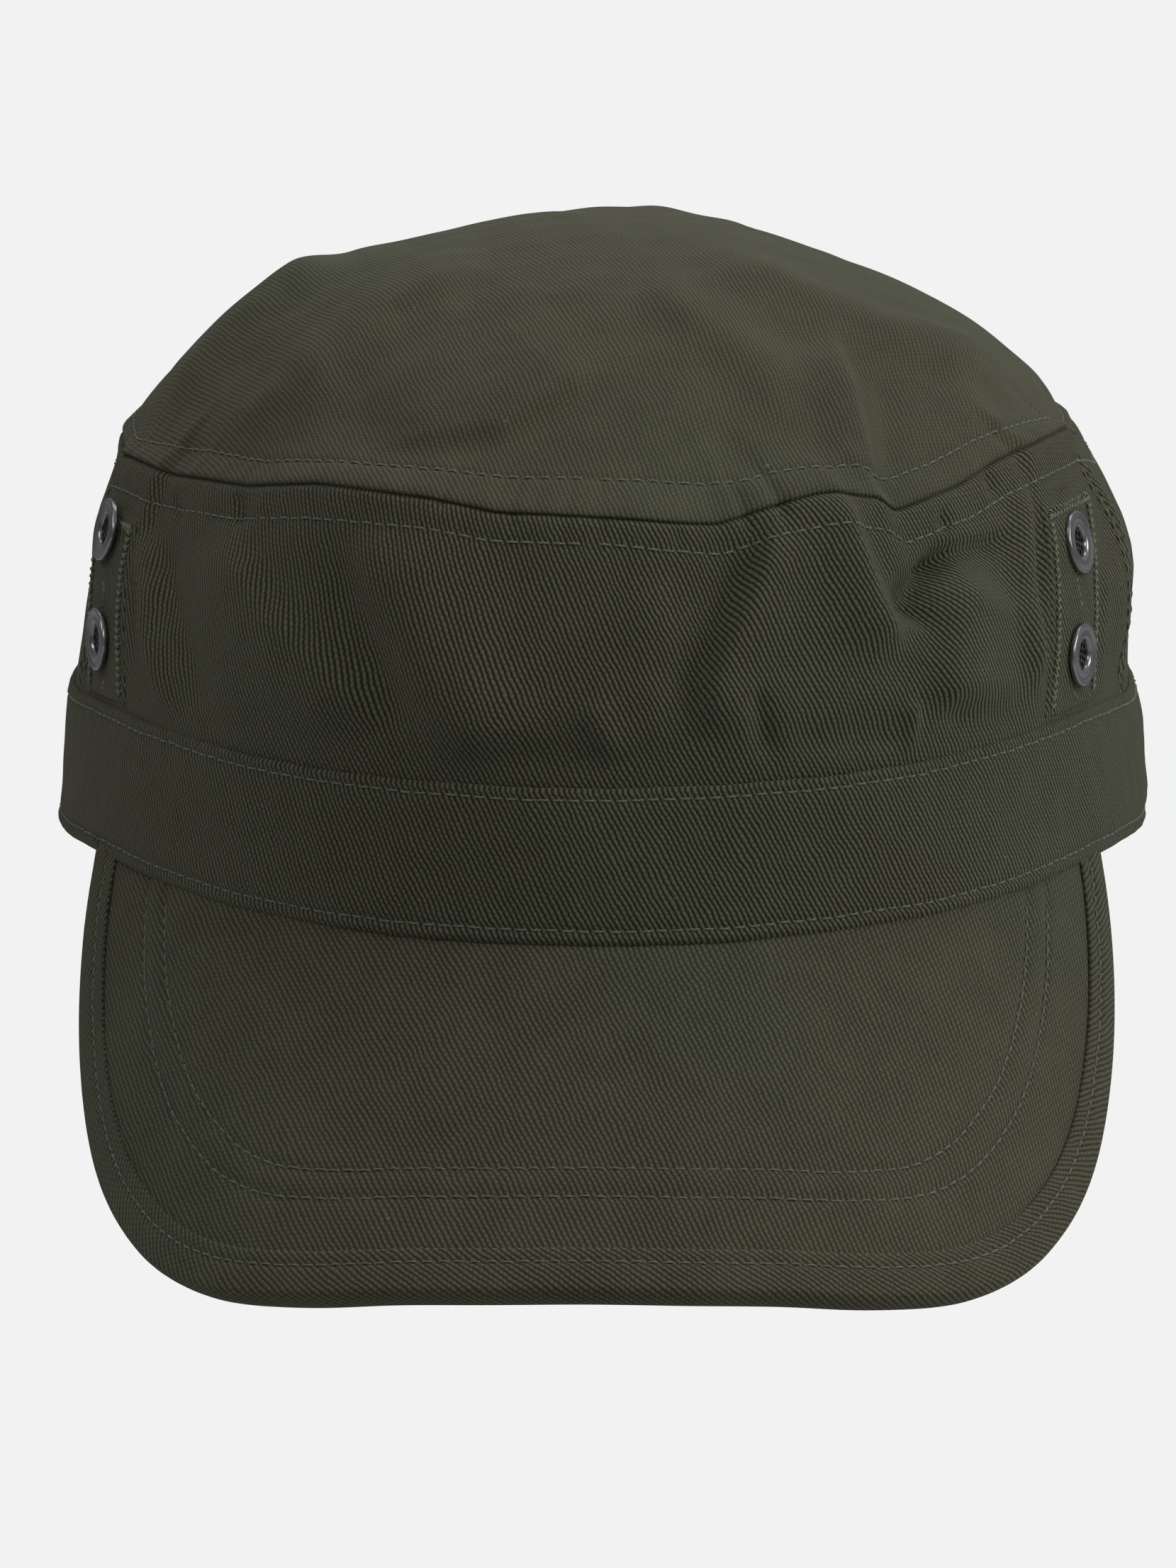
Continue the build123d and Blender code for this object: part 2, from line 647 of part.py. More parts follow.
# ---------------------------------------------------------------- fabric loop
# wraps the buckle's bar and is sewn to the face of the band's end
LOOP_THICK = 0.8
LOOP_HALF = STRAP_WIDTH / 2 - 0.6
LOOP_BORE_R = BAR_R + 0.08
LOOP_OUTER_R = LOOP_BORE_R + LOOP_THICK
NECK_X = BAR_X + 4.3                   # where the neck meets the sewn tab
TAB_IN = END_RADIUS + SEAM_GAP
TAB_OUT = TAB_IN + 2 * LOOP_THICK
# the tab's two ends, degrees from the X axis
TAB_NEAR = 90 - BUCKLE_DEG - 8.4
TAB_FAR = 90 - STRAP_TO

with BuildPart() as buckle_loop:
    with BuildSketch(BUCKLE_SECTION):
        with Locations((BAR_X, BAR_RADIUS)):
            Circle(LOOP_OUTER_R)
        with BuildLine():
            Polyline(
                (BAR_X, BAR_RADIUS + LOOP_OUTER_R),
                (NECK_X, 76.85),
                (NECK_X, 75.24),
                (BAR_X, BAR_RADIUS - LOOP_OUTER_R),
                close=True,
            )
        make_face()
        with Locations((BAR_X, BAR_RADIUS)):
            Circle(LOOP_BORE_R, mode=Mode.SUBTRACT)
    extrude(amount=LOOP_HALF, both=True)
    with BuildSketch(Plane.XY.offset(STRAP_MID)):
        with BuildLine():
            for radius in (TAB_IN, TAB_OUT):
                CenterArc((0, END_CENTRE), radius, TAB_FAR, TAB_NEAR - TAB_FAR)
            for end_deg in (TAB_NEAR, TAB_FAR):
                across = math.cos(math.radians(end_deg))
                back = math.sin(math.radians(end_deg))
                Line(
                    (TAB_IN * across, END_CENTRE + TAB_IN * back),
                    (TAB_OUT * across, END_CENTRE + TAB_OUT * back),
                )
        make_face()
    extrude(amount=LOOP_HALF, both=True)
finish(buckle_loop, "buckle_loop")
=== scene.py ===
"""Soft military field cap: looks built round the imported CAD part. Lengths in this script are millimetres until a mesh is made."""

import math

import bpy
import numpy as np
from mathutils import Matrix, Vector
from mathutils.kdtree import KDTree


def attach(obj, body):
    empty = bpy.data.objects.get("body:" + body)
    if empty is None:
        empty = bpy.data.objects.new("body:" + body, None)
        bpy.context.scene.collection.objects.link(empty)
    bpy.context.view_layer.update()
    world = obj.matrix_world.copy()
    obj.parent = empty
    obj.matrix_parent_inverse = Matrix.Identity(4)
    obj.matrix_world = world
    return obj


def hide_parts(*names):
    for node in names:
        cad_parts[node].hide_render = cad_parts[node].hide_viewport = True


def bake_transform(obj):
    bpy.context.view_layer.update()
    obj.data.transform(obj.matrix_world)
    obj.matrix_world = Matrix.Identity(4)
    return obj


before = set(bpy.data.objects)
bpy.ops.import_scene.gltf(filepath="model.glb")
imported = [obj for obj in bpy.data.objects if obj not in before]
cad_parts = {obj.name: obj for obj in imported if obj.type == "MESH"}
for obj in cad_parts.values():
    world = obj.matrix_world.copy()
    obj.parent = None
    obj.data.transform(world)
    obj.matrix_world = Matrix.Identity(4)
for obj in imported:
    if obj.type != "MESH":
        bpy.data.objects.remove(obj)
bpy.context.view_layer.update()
rng = np.random.default_rng(7)

# ------------------------------------------------------------------ plan outline, as in the CAD part
A, B, RE = 85.5, 106.0, 76.0
CY = B - RE
RS = (A * A + CY * CY - RE * RE) / (2 * (A - RE))
CX = RS - A
TAN = math.degrees(math.atan2(CY, CX))


def oval(theta, off):
    """Point of the oval whose outward normal points along theta (degrees), set in by off."""
    th = np.mod(np.asarray(theta, float) + 180, 360) - 180
    a = np.abs(th)
    side_r, side_l = a <= TAN, a >= 180 - TAN
    cx = np.where(side_r, -CX, np.where(side_l, CX, 0.0))
    cy = np.where(side_r | side_l, 0.0, np.where(th > 0, CY, -CY))
    r = np.where(side_r | side_l, RS, RE) - off
    t = np.radians(th)
    return cx + r * np.cos(t), cy + r * np.sin(t)


_th = np.linspace(-90, 270, 3601)
_x, _y = oval(_th, 0)
_len = np.r_[0, np.cumsum(np.hypot(np.diff(_x), np.diff(_y)))]


def theta_at(s):
    """theta (from -90 at the front, increasing towards +X) at arc length s, which may be negative."""
    tot = _len[-1]
    k = np.floor(np.asarray(s, float) / tot)
    return np.interp(np.asarray(s, float) - k * tot, _len, _th) + 360 * k


def s_at(theta):
    k = np.floor((np.asarray(theta, float) + 90) / 360)
    return np.interp(np.asarray(theta, float) - 360 * k, _th, _len) + k * _len[-1]


def cubic(xs, ys):
    """Natural cubic spline through the points."""
    xs, ys = np.asarray(xs, float), np.asarray(ys, float)
    n = len(xs)
    h = np.diff(xs)
    m = np.eye(n)
    rhs = np.zeros(n)
    for i in range(1, n - 1):
        m[i, i - 1], m[i, i], m[i, i + 1] = h[i - 1], 2 * (h[i - 1] + h[i]), h[i]
        rhs[i] = 6 * ((ys[i + 1] - ys[i]) / h[i] - (ys[i] - ys[i - 1]) / h[i - 1])
    c = np.linalg.solve(m, rhs)

    def f(x):
        x = np.asarray(x, float)
        i = np.clip(np.searchsorted(xs, x) - 1, 0, n - 2)
        d0, d1 = xs[i + 1] - x, x - xs[i]
        return (c[i] * d0**3 + c[i + 1] * d1**3) / (6 * h[i]) + (ys[i] / h[i] - c[i] * h[i] / 6) * d0 + (ys[i + 1] / h[i] - c[i + 1] * h[i] / 6) * d1

    return f


EDGE = [(-135.0, 7.2), (-106.0, 7.2), (-85.0, 7.0), (-65.0, 6.65), (-50.0, 6.05), (-37.0, 4.7), (-25.0, 2.9), (-13.0, 1.2), (0.0, 0.2), (12.0, 0.0), (135.0, 0.0)]
_ey = np.linspace(-135, 135, 541)
_ez = np.convolve(np.pad(np.interp(_ey, *zip(*EDGE)), 12, mode="edge"), np.hanning(27)[1:-1] / np.hanning(27)[1:-1].sum(), mode="valid")


def edge_z(y):
    return np.interp(y, _ey, _ez)


WALL = [(4.3, -2.0), (4.3, 10.0), (4.3, 20.0), (4.0, 25.0), (3.5, 30.0), (3.4, 36.0), (3.7, 42.0), (4.6, 49.0), (6.1, 55.0), (8.4, 61.5), (11.3, 69.0), (12.6, 72.0)]
DOME = [(7.4, 57.5), (9.2, 62.2), (12.2, 67.4), (17.5, 71.8), (26.0, 77.4), (37.5, 83.9), (50.0, 89.4), (60.0, 92.4)]
_w = cubic([p[1] for p in WALL], [p[0] for p in WALL])
WALL_H, BAND_H = 61.4, 23.0
CLOTH = 0.9


def smooth(a, b, x):
    t = np.clip((np.asarray(x, float) - a) / (b - a), 0, 1)
    return t * t * (3 - 2 * t)


# ------------------------------------------------------------------ the viewing camera, used to place folds where they are seen
W, H = 1659, 2212
ELEV, AZIM, DIST, PPM, TARGET = 14.0, 0.8, 1300.0, 8.94, np.array([-2.2, 0.0, 5.3])
_e, _a = math.radians(ELEV), math.radians(AZIM)
BACK = np.array([math.sin(_a) * math.cos(_e), -math.cos(_a) * math.cos(_e), math.sin(_e)])
RIGHT = np.array([math.cos(_a), math.sin(_a), 0.0])
UP = np.cross(BACK, RIGHT)
FOCAL = PPM * DIST
EYE = TARGET + BACK * DIST


def project(p):
    d = p - EYE
    dep = -(d @ BACK)
    return W / 2 + FOCAL * (d @ RIGHT) / dep, H / 2 - FOCAL * (d @ UP) / dep


def ridge(px, py, pts, amp, w, w2=None, taper=0.25):
    """Height of a fold that runs along pts; w and w2 are its widths to the left and right of travel."""
    w2 = w if w2 is None else w2
    pts = np.array(pts, float)
    seg = np.hypot(*np.diff(pts, axis=0).T)
    cum = np.r_[0, np.cumsum(seg)]
    best = np.full(px.shape, 1e9)
    side = np.zeros(px.shape)
    along = np.zeros(px.shape)
    for i in range(len(pts) - 1):
        a, b = pts[i], pts[i + 1]
        d = (b - a) / seg[i]
        t = np.clip((px - a[0]) * d[0] + (py - a[1]) * d[1], 0, seg[i])
        cx, cy = a[0] + d[0] * t, a[1] + d[1] * t
        dist = np.hypot(px - cx, py - cy)
        near = dist < best
        best = np.where(near, dist, best)
        side = np.where(near, (px - cx) * d[1] - (py - cy) * d[0], side)
        along = np.where(near, (cum[i] + t) / cum[-1], along)
    ww = np.where(side > 0, w2, w)
    return amp * np.exp(-((best / ww) ** 2)) * smooth(-0.02, taper, along) * smooth(-0.02, taper, 1 - along)


def noise1(x, seed, waves=5):
    """Smooth repeatable wobble of one variable in cycles of roughly one unit."""
    r = np.random.default_rng(seed)
    out = np.zeros(np.shape(x))
    for k in range(waves):
        f, ph, am = r.uniform(0.5, 1.7), r.uniform(0, 6.28), r.uniform(0.4, 1)
        out += am * np.sin(2 * np.pi * f * x + ph)
    return out / waves


def noise2(x, y, seed, waves=9):
    r = np.random.default_rng(seed)
    out = np.zeros(np.shape(x))
    for k in range(waves):
        an, f, ph = r.uniform(0, np.pi), r.uniform(0.5, 1.6), r.uniform(0, 6.28)
        out += np.sin(2 * np.pi * f * (np.cos(an) * x + np.sin(an) * y) + ph)
    return out / waves * 1.4


# ------------------------------------------------------------------ mesh helpers
def make_object(name, verts, faces, uv=None, mat=None, shade=True):
    """verts in millimetres, uv one pair per vertex in millimetres."""
    verts = np.asarray(verts, float)
    faces = [list(map(int, f)) for f in faces]
    tri = np.array([(f[0], f[1], f[2]) for f in faces] + [(f[0], f[2], f[3]) for f in faces if len(f) == 4])
    a, b, c = verts[tri[:, 0]], verts[tri[:, 1]], verts[tri[:, 2]]
    if np.einsum("ij,ij->i", a, np.cross(b, c)).sum() < 0:
        faces = [f[::-1] for f in faces]
    me = bpy.data.meshes.new(name)
    me.from_pydata((verts * 0.001).tolist(), [], faces)
    me.update()
    if uv is not None:
        layer = me.uv_layers.new(name="weave")
        idx = np.zeros(len(me.loops), np.int32)
        me.loops.foreach_get("vertex_index", idx)
        layer.data.foreach_set("uv", np.asarray(uv, np.float32)[idx].ravel())
    if shade:
        me.polygons.foreach_set("use_smooth", np.ones(len(me.polygons), bool))
    ob = bpy.data.objects.new(name, me)
    bpy.context.scene.collection.objects.link(ob)
    if mat is not None:
        me.materials.append(mat)
    return ob


def grid_normals(P, closed=False):
    """Unit normals of a grid of points (n, m, 3): cross of the first and second directions."""
    if closed:
        du = np.roll(P, -1, 0) - np.roll(P, 1, 0)
    else:
        du = np.gradient(P, axis=0)
    dv = np.gradient(P, axis=1)
    n = np.cross(du, dv)
    ln = np.linalg.norm(n, axis=2, keepdims=True)
    return n / np.maximum(ln, 1e-9)


def sheet(name, P, UV, thick, mat, round_edge=0.5, hole=None):
    """A closed sheet of cloth: P (n, m, 3) is its outer face, thick its thickness against the normal."""
    n, m = P.shape[:2]
    N = grid_normals(P)
    Q = P - N * thick
    verts = [P.reshape(-1, 3), Q.reshape(-1, 3)]
    uvs = [UV.reshape(-1, 2), UV.reshape(-1, 2)]
    idx = np.arange(n * m).reshape(n, m)
    faces = []
    a, b, c, d = idx[:-1, :-1].ravel(), idx[1:, :-1].ravel(), idx[1:, 1:].ravel(), idx[:-1, 1:].ravel()
    if hole is not None:
        flat = P.reshape(-1, 3)
        keep = ~hole((flat[a] + flat[b] + flat[c] + flat[d]) / 4)
        a, b, c, d = a[keep], b[keep], c[keep], d[keep]
    faces += np.stack([a, b, c, d], 1).tolist()
    o = n * m
    faces += np.stack([a + o, d + o, c + o, b + o], 1).tolist()
    loop = np.r_[idx[:, 0], idx[-1, 1:], idx[-2::-1, -1], idx[0, -2:0:-1]]
    Pf, Qf = P.reshape(-1, 3), Q.reshape(-1, 3)
    Pl, Ql = Pf[loop], Qf[loop]
    inner = np.r_[idx[:, 1], idx[-2, 1:], idx[-2::-1, -2], idx[1, -2:0:-1]]
    E = Pl - Pf[inner]
    ln = np.linalg.norm(E, axis=1, keepdims=True)
    E = E / np.maximum(ln, 1e-9)
    mid = (Pl + Ql) / 2
    half = (Pl - Ql) / 2
    k = len(loop)
    rings = [loop]
    base = 2 * n * m
    for ph in (45, 90, 135):
        r = math.radians(ph)
        verts.append(mid + half * math.cos(r) + E * (thick * round_edge * math.sin(r)))
        uvs.append(UV.reshape(-1, 2)[loop])
        rings.append(np.arange(base, base + k))
        base += k
    rings.append(loop + o)
    for r0, r1 in zip(rings[:-1], rings[1:]):
        faces += np.stack([r0, r1, np.roll(r1, -1), np.roll(r0, -1)], 1).tolist()
    return make_object(name, np.vstack(verts), faces, np.vstack(uvs), mat)


def tube_section(name, C, UV, mat, caps=True):
    """Sweeps closed sections: C (n, k, 3) holds n sections of k points each."""
    n, k = C.shape[:2]
    idx = np.arange(n * k).reshape(n, k)
    a, b = idx[:-1], idx[1:]
    faces = np.stack([a.ravel(), b.ravel(), np.roll(b, -1, 1).ravel(), np.roll(a, -1, 1).ravel()], 1).tolist()
    if caps:
        half = k // 2
        for row, rev in ((idx[0], False), (idx[-1], True)):
            for i in range(half - 1):
                q = [row[i], row[i + 1], row[k - 2 - i], row[k - 1 - i]]
                if len(set(q)) == 4:
                    faces.append(q if not rev else q[::-1])
    return make_object(name, C.reshape(-1, 3), faces, UV.reshape(-1, 2), mat)


def stitches(name, path, normal, mat, pitch=2.3, length=2.05, r=0.165, lift=0.05, bow=0.16, jitter=0.06, slant=0.0):
    """Thread segments along a path on a surface: path and normal are (n, 3), closely spaced."""
    path, normal = np.asarray(path, float), np.asarray(normal, float)
    step = np.linalg.norm(np.diff(path, axis=0), axis=1)
    cum = np.r_[0, np.cumsum(step)]
    count = int(cum[-1] / pitch)
    if count < 1:
        return None
    g = np.random.default_rng(len(name) * 131 + count)
    k, rings = 6, 7
    starts = (np.arange(count) + 0.15) * pitch + g.uniform(-jitter, jitter, count)
    t = np.linspace(0, 1, rings)
    S = starts[:, None] + t[None] * length * g.uniform(0.94, 1.04, count)[:, None]
    interp = lambda arr: np.stack([np.interp(S, cum, arr[:, i]) for i in range(3)], -1)
    P, Nn = interp(path), interp(normal)
    Nn /= np.linalg.norm(Nn, axis=-1, keepdims=True)
    T = np.gradient(P, axis=1)
    T /= np.linalg.norm(T, axis=-1, keepdims=True)
    Bn = np.cross(T, Nn)
    hump = np.sin(np.pi * t) ** 0.6
    rad = r * (0.45 + 0.55 * np.sin(np.pi * np.clip(t, 0.04, 0.96)) ** 0.5)
    P = P + Nn * (lift - 0.25 + (0.25 + bow) * hump)[None, :, None]
    P = P + Bn * (slant * (t - 0.5))[None, :, None] + Bn * g.uniform(-0.06, 0.06, count)[:, None, None]
    ang = np.linspace(0, 2 * np.pi, k, endpoint=False)
    V = P[:, :, None, :] + rad[None, :, None, None] * (np.cos(ang)[None, None, :, None] * Bn[:, :, None, :] + np.sin(ang)[None, None, :, None] * Nn[:, :, None, :])
    V = V.reshape(count, rings * k, 3)
    idx = np.arange(rings * k).reshape(rings, k)
    a, b = idx[:-1], idx[1:]
    f = np.stack([a.ravel(), np.roll(a, -1, 1).ravel(), np.roll(b, -1, 1).ravel(), b.ravel()], 1)
    caps = [[0, 3, 2, 1], [0, 5, 4, 3]]
    last = (rings - 1) * k
    caps += [[last, last + 1, last + 2, last + 3], [last, last + 3, last + 4, last + 5]]
    f = np.vstack([f, caps])
    F = (f[None] + (np.arange(count) * rings * k)[:, None, None]).reshape(-1, 4)
    uv = np.zeros((count, rings, k, 2))
    uv[..., 0] = S[..., None]
    uv[..., 1] = np.arange(k)[None, None] * 0.3
    return make_object(name, V.reshape(-1, 3), F.tolist(), uv.reshape(-1, 2), mat)


# ------------------------------------------------------------------ materials
def new_mat(name):
    m = bpy.data.materials.new(name)
    m.use_nodes = True
    nt = m.node_tree
    nt.nodes.clear()
    out = nt.nodes.new("ShaderNodeOutputMaterial")
    bsdf = nt.nodes.new("ShaderNodeBsdfPrincipled")
    nt.links.new(bsdf.outputs[0], out.inputs[0])
    return m, nt, bsdf


class G:
    """Short node-building helper."""

    def __init__(self, nt):
        self.nt = nt

    def n(self, kind, **kw):
        nd = self.nt.nodes.new(kind)
        for k, v in kw.items():
            setattr(nd, k, v)
        return nd

    def put(self, sock, v):
        if hasattr(v, "is_output") or isinstance(v, bpy.types.NodeSocket):
            self.nt.links.new(v, sock)
        else:
            sock.default_value = v

    def math(self, op, a, b=0.0, c=0.0, clamp=False):
        nd = self.n("ShaderNodeMath", operation=op, use_clamp=clamp)
        self.put(nd.inputs[0], a)
        self.put(nd.inputs[1], b)
        self.put(nd.inputs[2], c)
        return nd.outputs[0]

    def noise(self, vec, scale, detail=3.0, rough=0.55):
        nd = self.n("ShaderNodeTexNoise")
        self.put(nd.inputs["Vector"], vec)
        nd.inputs["Scale"].default_value = scale
        nd.inputs["Detail"].default_value = detail
        nd.inputs["Roughness"].default_value = rough
        return nd.outputs[0]

    def ramp(self, v, stops):
        nd = self.n("ShaderNodeValToRGB")
        el = nd.color_ramp.elements
        while len(el) > 1:
            el.remove(el[-1])
        el[0].position, el[0].color = stops[0][0], (*stops[0][1], 1)
        for p, c in stops[1:]:
            e = el.new(p)
            e.color = (*c, 1)
        self.put(nd.inputs[0], v)
        return nd.outputs[0]

    def mix(self, f, a, b, mode="MIX"):
        nd = self.n("ShaderNodeMix", data_type="RGBA", blend_type=mode)
        self.put(nd.inputs[0], f)
        self.put(nd.inputs[6], a)
        self.put(nd.inputs[7], b)
        return nd.outputs[2]


def cloth_mat(name, dark, light, angle=60.0, pitch=0.77, bump=0.2, sheen=0.14, contrast=1.35, specks=True):
    """Twill: diagonal ribs at angle below the horizontal, built from short floats, on the weave UVs (millimetres)."""
    m, nt, bsdf = new_mat(name)
    g = G(nt)
    uvn = g.n("ShaderNodeUVMap", uv_map="weave")
    tc = g.n("ShaderNodeTexCoord")
    sep = g.n("ShaderNodeSeparateXYZ")
    g.put(sep.inputs[0], uvn.outputs[0])
    u, v = sep.outputs[0], sep.outputs[1]
    wob = g.math("SUBTRACT", g.noise(uvn.outputs[0], 0.11, 2.0), 0.5)
    wob2 = g.math("SUBTRACT", g.noise(uvn.outputs[0], 0.55, 2.0), 0.5)
    a = math.radians(angle)
    ph = g.math("ADD", g.math("MULTIPLY", u, math.sin(a) / pitch), g.math("MULTIPLY", v, math.cos(a) / pitch))
    ph = g.math("ADD", ph, g.math("ADD", g.math("MULTIPLY", wob, 1.5), g.math("MULTIPLY", wob2, 0.45)))
    al = g.math("SUBTRACT", g.math("MULTIPLY", u, math.cos(a) / (pitch * 1.15)), g.math("MULTIPLY", v, math.sin(a) / (pitch * 1.15)))
    rib = g.math("ADD", g.math("MULTIPLY", g.math("SINE", g.math("MULTIPLY", ph, 2 * math.pi)), 0.5), 0.5)
    row = g.math("FLOOR", g.math("ADD", ph, 0.25))
    al = g.math("ADD", al, g.math("MULTIPLY", row, 0.37))
    al = g.math("ADD", al, g.math("MULTIPLY", wob2, 0.8))
    flo = g.math("ADD", g.math("MULTIPLY", g.math("SINE", g.math("MULTIPLY", al, 2 * math.pi)), 0.5), 0.5)
    flo = g.math("POWER", flo, 0.6)
    fuzz = g.noise(uvn.outputs[0], 3.2, 3.0, 0.7)
    height = g.math("MULTIPLY", g.math("POWER", rib, 0.75), g.math("ADD", g.math("MULTIPLY", flo, 0.48), 0.52))
    height = g.math("ADD", height, g.math("MULTIPLY", fuzz, 0.52))
    big = g.noise(tc.outputs["Object"], 22.0, 4.0, 0.6)
    mid = g.noise(tc.outputs["Object"], 130.0, 3.0, 0.6)
    fac = g.math("ADD", g.math("MULTIPLY", g.math("SUBTRACT", height, 0.665), 0.62 * contrast), g.math("MULTIPLY", g.math("SUBTRACT", mid, 0.5), 0.24))
    fac = g.math("ADD", fac, g.math("MULTIPLY", g.math("SUBTRACT", big, 0.5), 0.3))
    fac = g.math("ADD", fac, 0.41, clamp=True)
    col = g.ramp(fac, [(0.0, dark), (0.85, light)])
    hue = g.ramp(g.noise(tc.outputs["Object"], 9.0, 2.0), [(0.35, (1.03, 0.99, 0.95)), (0.65, (0.97, 1.01, 1.0))])
    col = g.mix(1.0, col, hue, "MULTIPLY")
    if specks:
        vor = g.n("ShaderNodeTexVoronoi", feature="F1")
        g.put(vor.inputs["Vector"], uvn.outputs[0])
        vor.inputs["Scale"].default_value = 0.16
        dot = g.math("LESS_THAN", vor.outputs["Distance"], g.math("MULTIPLY", g.math("SUBTRACT", g.noise(uvn.outputs[0], 0.4, 1.0), 0.56), 0.35))
        col = g.mix(g.math("MULTIPLY", dot, 0.35), col, (0.20, 0.20, 0.15, 1))
    # painted shade: the "shade" vertex attribute mixes the cloth colour towards near-black, standing in for the shadow
    # in the crown seam's crease
    seam = g.n("ShaderNodeAttribute", attribute_name="shade")
    col = g.mix(g.math("MULTIPLY", seam.outputs["Fac"], 0.72), col, (0.004, 0.005, 0.003, 1))
    nt.links.new(col, bsdf.inputs["Base Color"])
    bsdf.inputs["Roughness"].default_value = 0.92
    bsdf.inputs["Specular IOR Level"].default_value = 0.22
    bsdf.inputs["Sheen Weight"].default_value = sheen
    bsdf.inputs["Sheen Roughness"].default_value = 0.45
    bsdf.inputs["Sheen Tint"].default_value = (0.80, 0.80, 0.62, 1)
    b1 = g.n("ShaderNodeBump")
    b1.inputs["Strength"].default_value = 0.9
    b1.inputs["Distance"].default_value = bump * 0.001
    g.put(b1.inputs["Height"], height)
    b2 = g.n("ShaderNodeBump")
    b2.inputs["Strength"].default_value = 0.5
    b2.inputs["Distance"].default_value = 0.0007
    g.put(b2.inputs["Height"], g.noise(tc.outputs["Object"], 95.0, 3.0, 0.5))
    nt.links.new(b1.outputs[0], b2.inputs["Normal"])
    nt.links.new(b2.outputs[0], bsdf.inputs["Normal"])
    return m


def thread_mat(name, color):
    m, nt, bsdf = new_mat(name)
    g = G(nt)
    uvn = g.n("ShaderNodeUVMap", uv_map="weave")
    sep = g.n("ShaderNodeSeparateXYZ")
    g.put(sep.inputs[0], uvn.outputs[0])
    tw = g.math("SINE", g.math("ADD", g.math("MULTIPLY", sep.outputs[0], 16.0), g.math("MULTIPLY", sep.outputs[1], 7.0)))
    tw = g.math("ADD", g.math("MULTIPLY", tw, 0.5), 0.5)
    var = g.noise(uvn.outputs[0], 0.3, 2.0)
    f = g.math("ADD", g.math("MULTIPLY", tw, 0.5), g.math("MULTIPLY", var, 0.5))
    d = tuple(c * 0.55 for c in color)
    l = tuple(min(1, c * 1.35) for c in color)
    nt.links.new(g.ramp(f, [(0.2, d), (0.8, l)]), bsdf.inputs["Base Color"])
    bsdf.inputs["Roughness"].default_value = 0.6
    bsdf.inputs["Sheen Weight"].default_value = 0.3
    b = g.n("ShaderNodeBump")
    b.inputs["Strength"].default_value = 0.7
    b.inputs["Distance"].default_value = 0.00008
    g.put(b.inputs["Height"], tw)
    nt.links.new(b.outputs[0], bsdf.inputs["Normal"])
    return m


def metal_mat(name, color, rough=0.3, wear=0.4):
    m, nt, bsdf = new_mat(name)
    g = G(nt)
    tc = g.n("ShaderNodeTexCoord")
    n1 = g.noise(tc.outputs["Object"], 420.0, 4.0, 0.6)
    n2 = g.noise(tc.outputs["Object"], 90.0, 3.0, 0.6)
    nt.links.new(g.ramp(n2, [(0.3, tuple(c * 0.75 for c in color)), (0.7, tuple(c * 1.25 for c in color))]), bsdf.inputs["Base Color"])
    bsdf.inputs["Metallic"].default_value = 0.95
    nt.links.new(g.math("ADD", g.math("MULTIPLY", n1, 0.12), rough - 0.06), bsdf.inputs["Roughness"])
    b = g.n("ShaderNodeBump")
    b.inputs["Strength"].default_value = 0.15
    b.inputs["Distance"].default_value = 0.00003
    g.put(b.inputs["Height"], n1)
    nt.links.new(b.outputs[0], bsdf.inputs["Normal"])
    return m


def plain_mat(name, color, rough=0.7):
    m, nt, bsdf = new_mat(name)
    g = G(nt)
    tc = g.n("ShaderNodeTexCoord")
    n = g.noise(tc.outputs["Object"], 260.0, 4.0, 0.6)
    nt.links.new(g.ramp(n, [(0.3, tuple(c * 0.85 for c in color)), (0.7, tuple(min(1, c * 1.1) for c in color))]), bsdf.inputs["Base Color"])
    bsdf.inputs["Roughness"].default_value = rough
    b = g.n("ShaderNodeBump")
    b.inputs["Strength"].default_value = 0.3
    b.inputs["Distance"].default_value = 0.0001
    g.put(b.inputs["Height"], n)
    nt.links.new(b.outputs[0], bsdf.inputs["Normal"])
    return m


DARK, LIGHT = (0.0165, 0.0165, 0.0090), (0.098, 0.097, 0.063)
M_TWILL = cloth_mat("twill_wall", DARK, LIGHT, angle=62, contrast=2.95, bump=0.28)
M_TOP = cloth_mat("twill_crown", DARK, LIGHT, angle=72, contrast=0.85, bump=0.13)
M_BAND = cloth_mat("twill_band", DARK, LIGHT, angle=62, contrast=2.9, bump=0.28)
M_VISOR = cloth_mat("twill_visor", DARK, LIGHT, angle=66, pitch=0.8, contrast=1.2, bump=0.18)
M_BIND = cloth_mat("twill_bias", DARK, LIGHT, angle=-38)
M_TAPE = cloth_mat("herringbone_tape", (0.020, 0.020, 0.014), (0.055, 0.055, 0.040), angle=45, pitch=0.7, bump=0.1)
M_SWEAT = cloth_mat("sweatband_cotton", (0.022, 0.022, 0.016), (0.060, 0.060, 0.046), angle=0, pitch=0.55, bump=0.08)
M_LABEL = cloth_mat("label_satin", (0.30, 0.30, 0.26), (0.46, 0.46, 0.41), angle=90, pitch=0.3, bump=0.03, specks=False)
M_THREAD = thread_mat("thread_light", (0.105, 0.112, 0.082))
M_THREAD2 = thread_mat("thread_green", (0.125, 0.155, 0.088))
M_METAL = metal_mat("gunmetal", (0.27, 0.27, 0.285), 0.24)
M_SCREEN = plain_mat("screen_dark", (0.012, 0.012, 0.011), 0.45)
M_BOARD = plain_mat("visor_board_plastic", (0.030, 0.033, 0.026))

# ------------------------------------------------------------------ the wall as a surface
SEAM_PTS = [(179, 640), (226, 661), (341, 681), (446, 681), (603, 702), (697, 721), (850, 728), (955, 735), (1014, 736), (1095, 711), (1148, 697), (1175, 694), (1243, 699), (1268, 716), (1362, 679), (1416, 646), (1507, 601)]


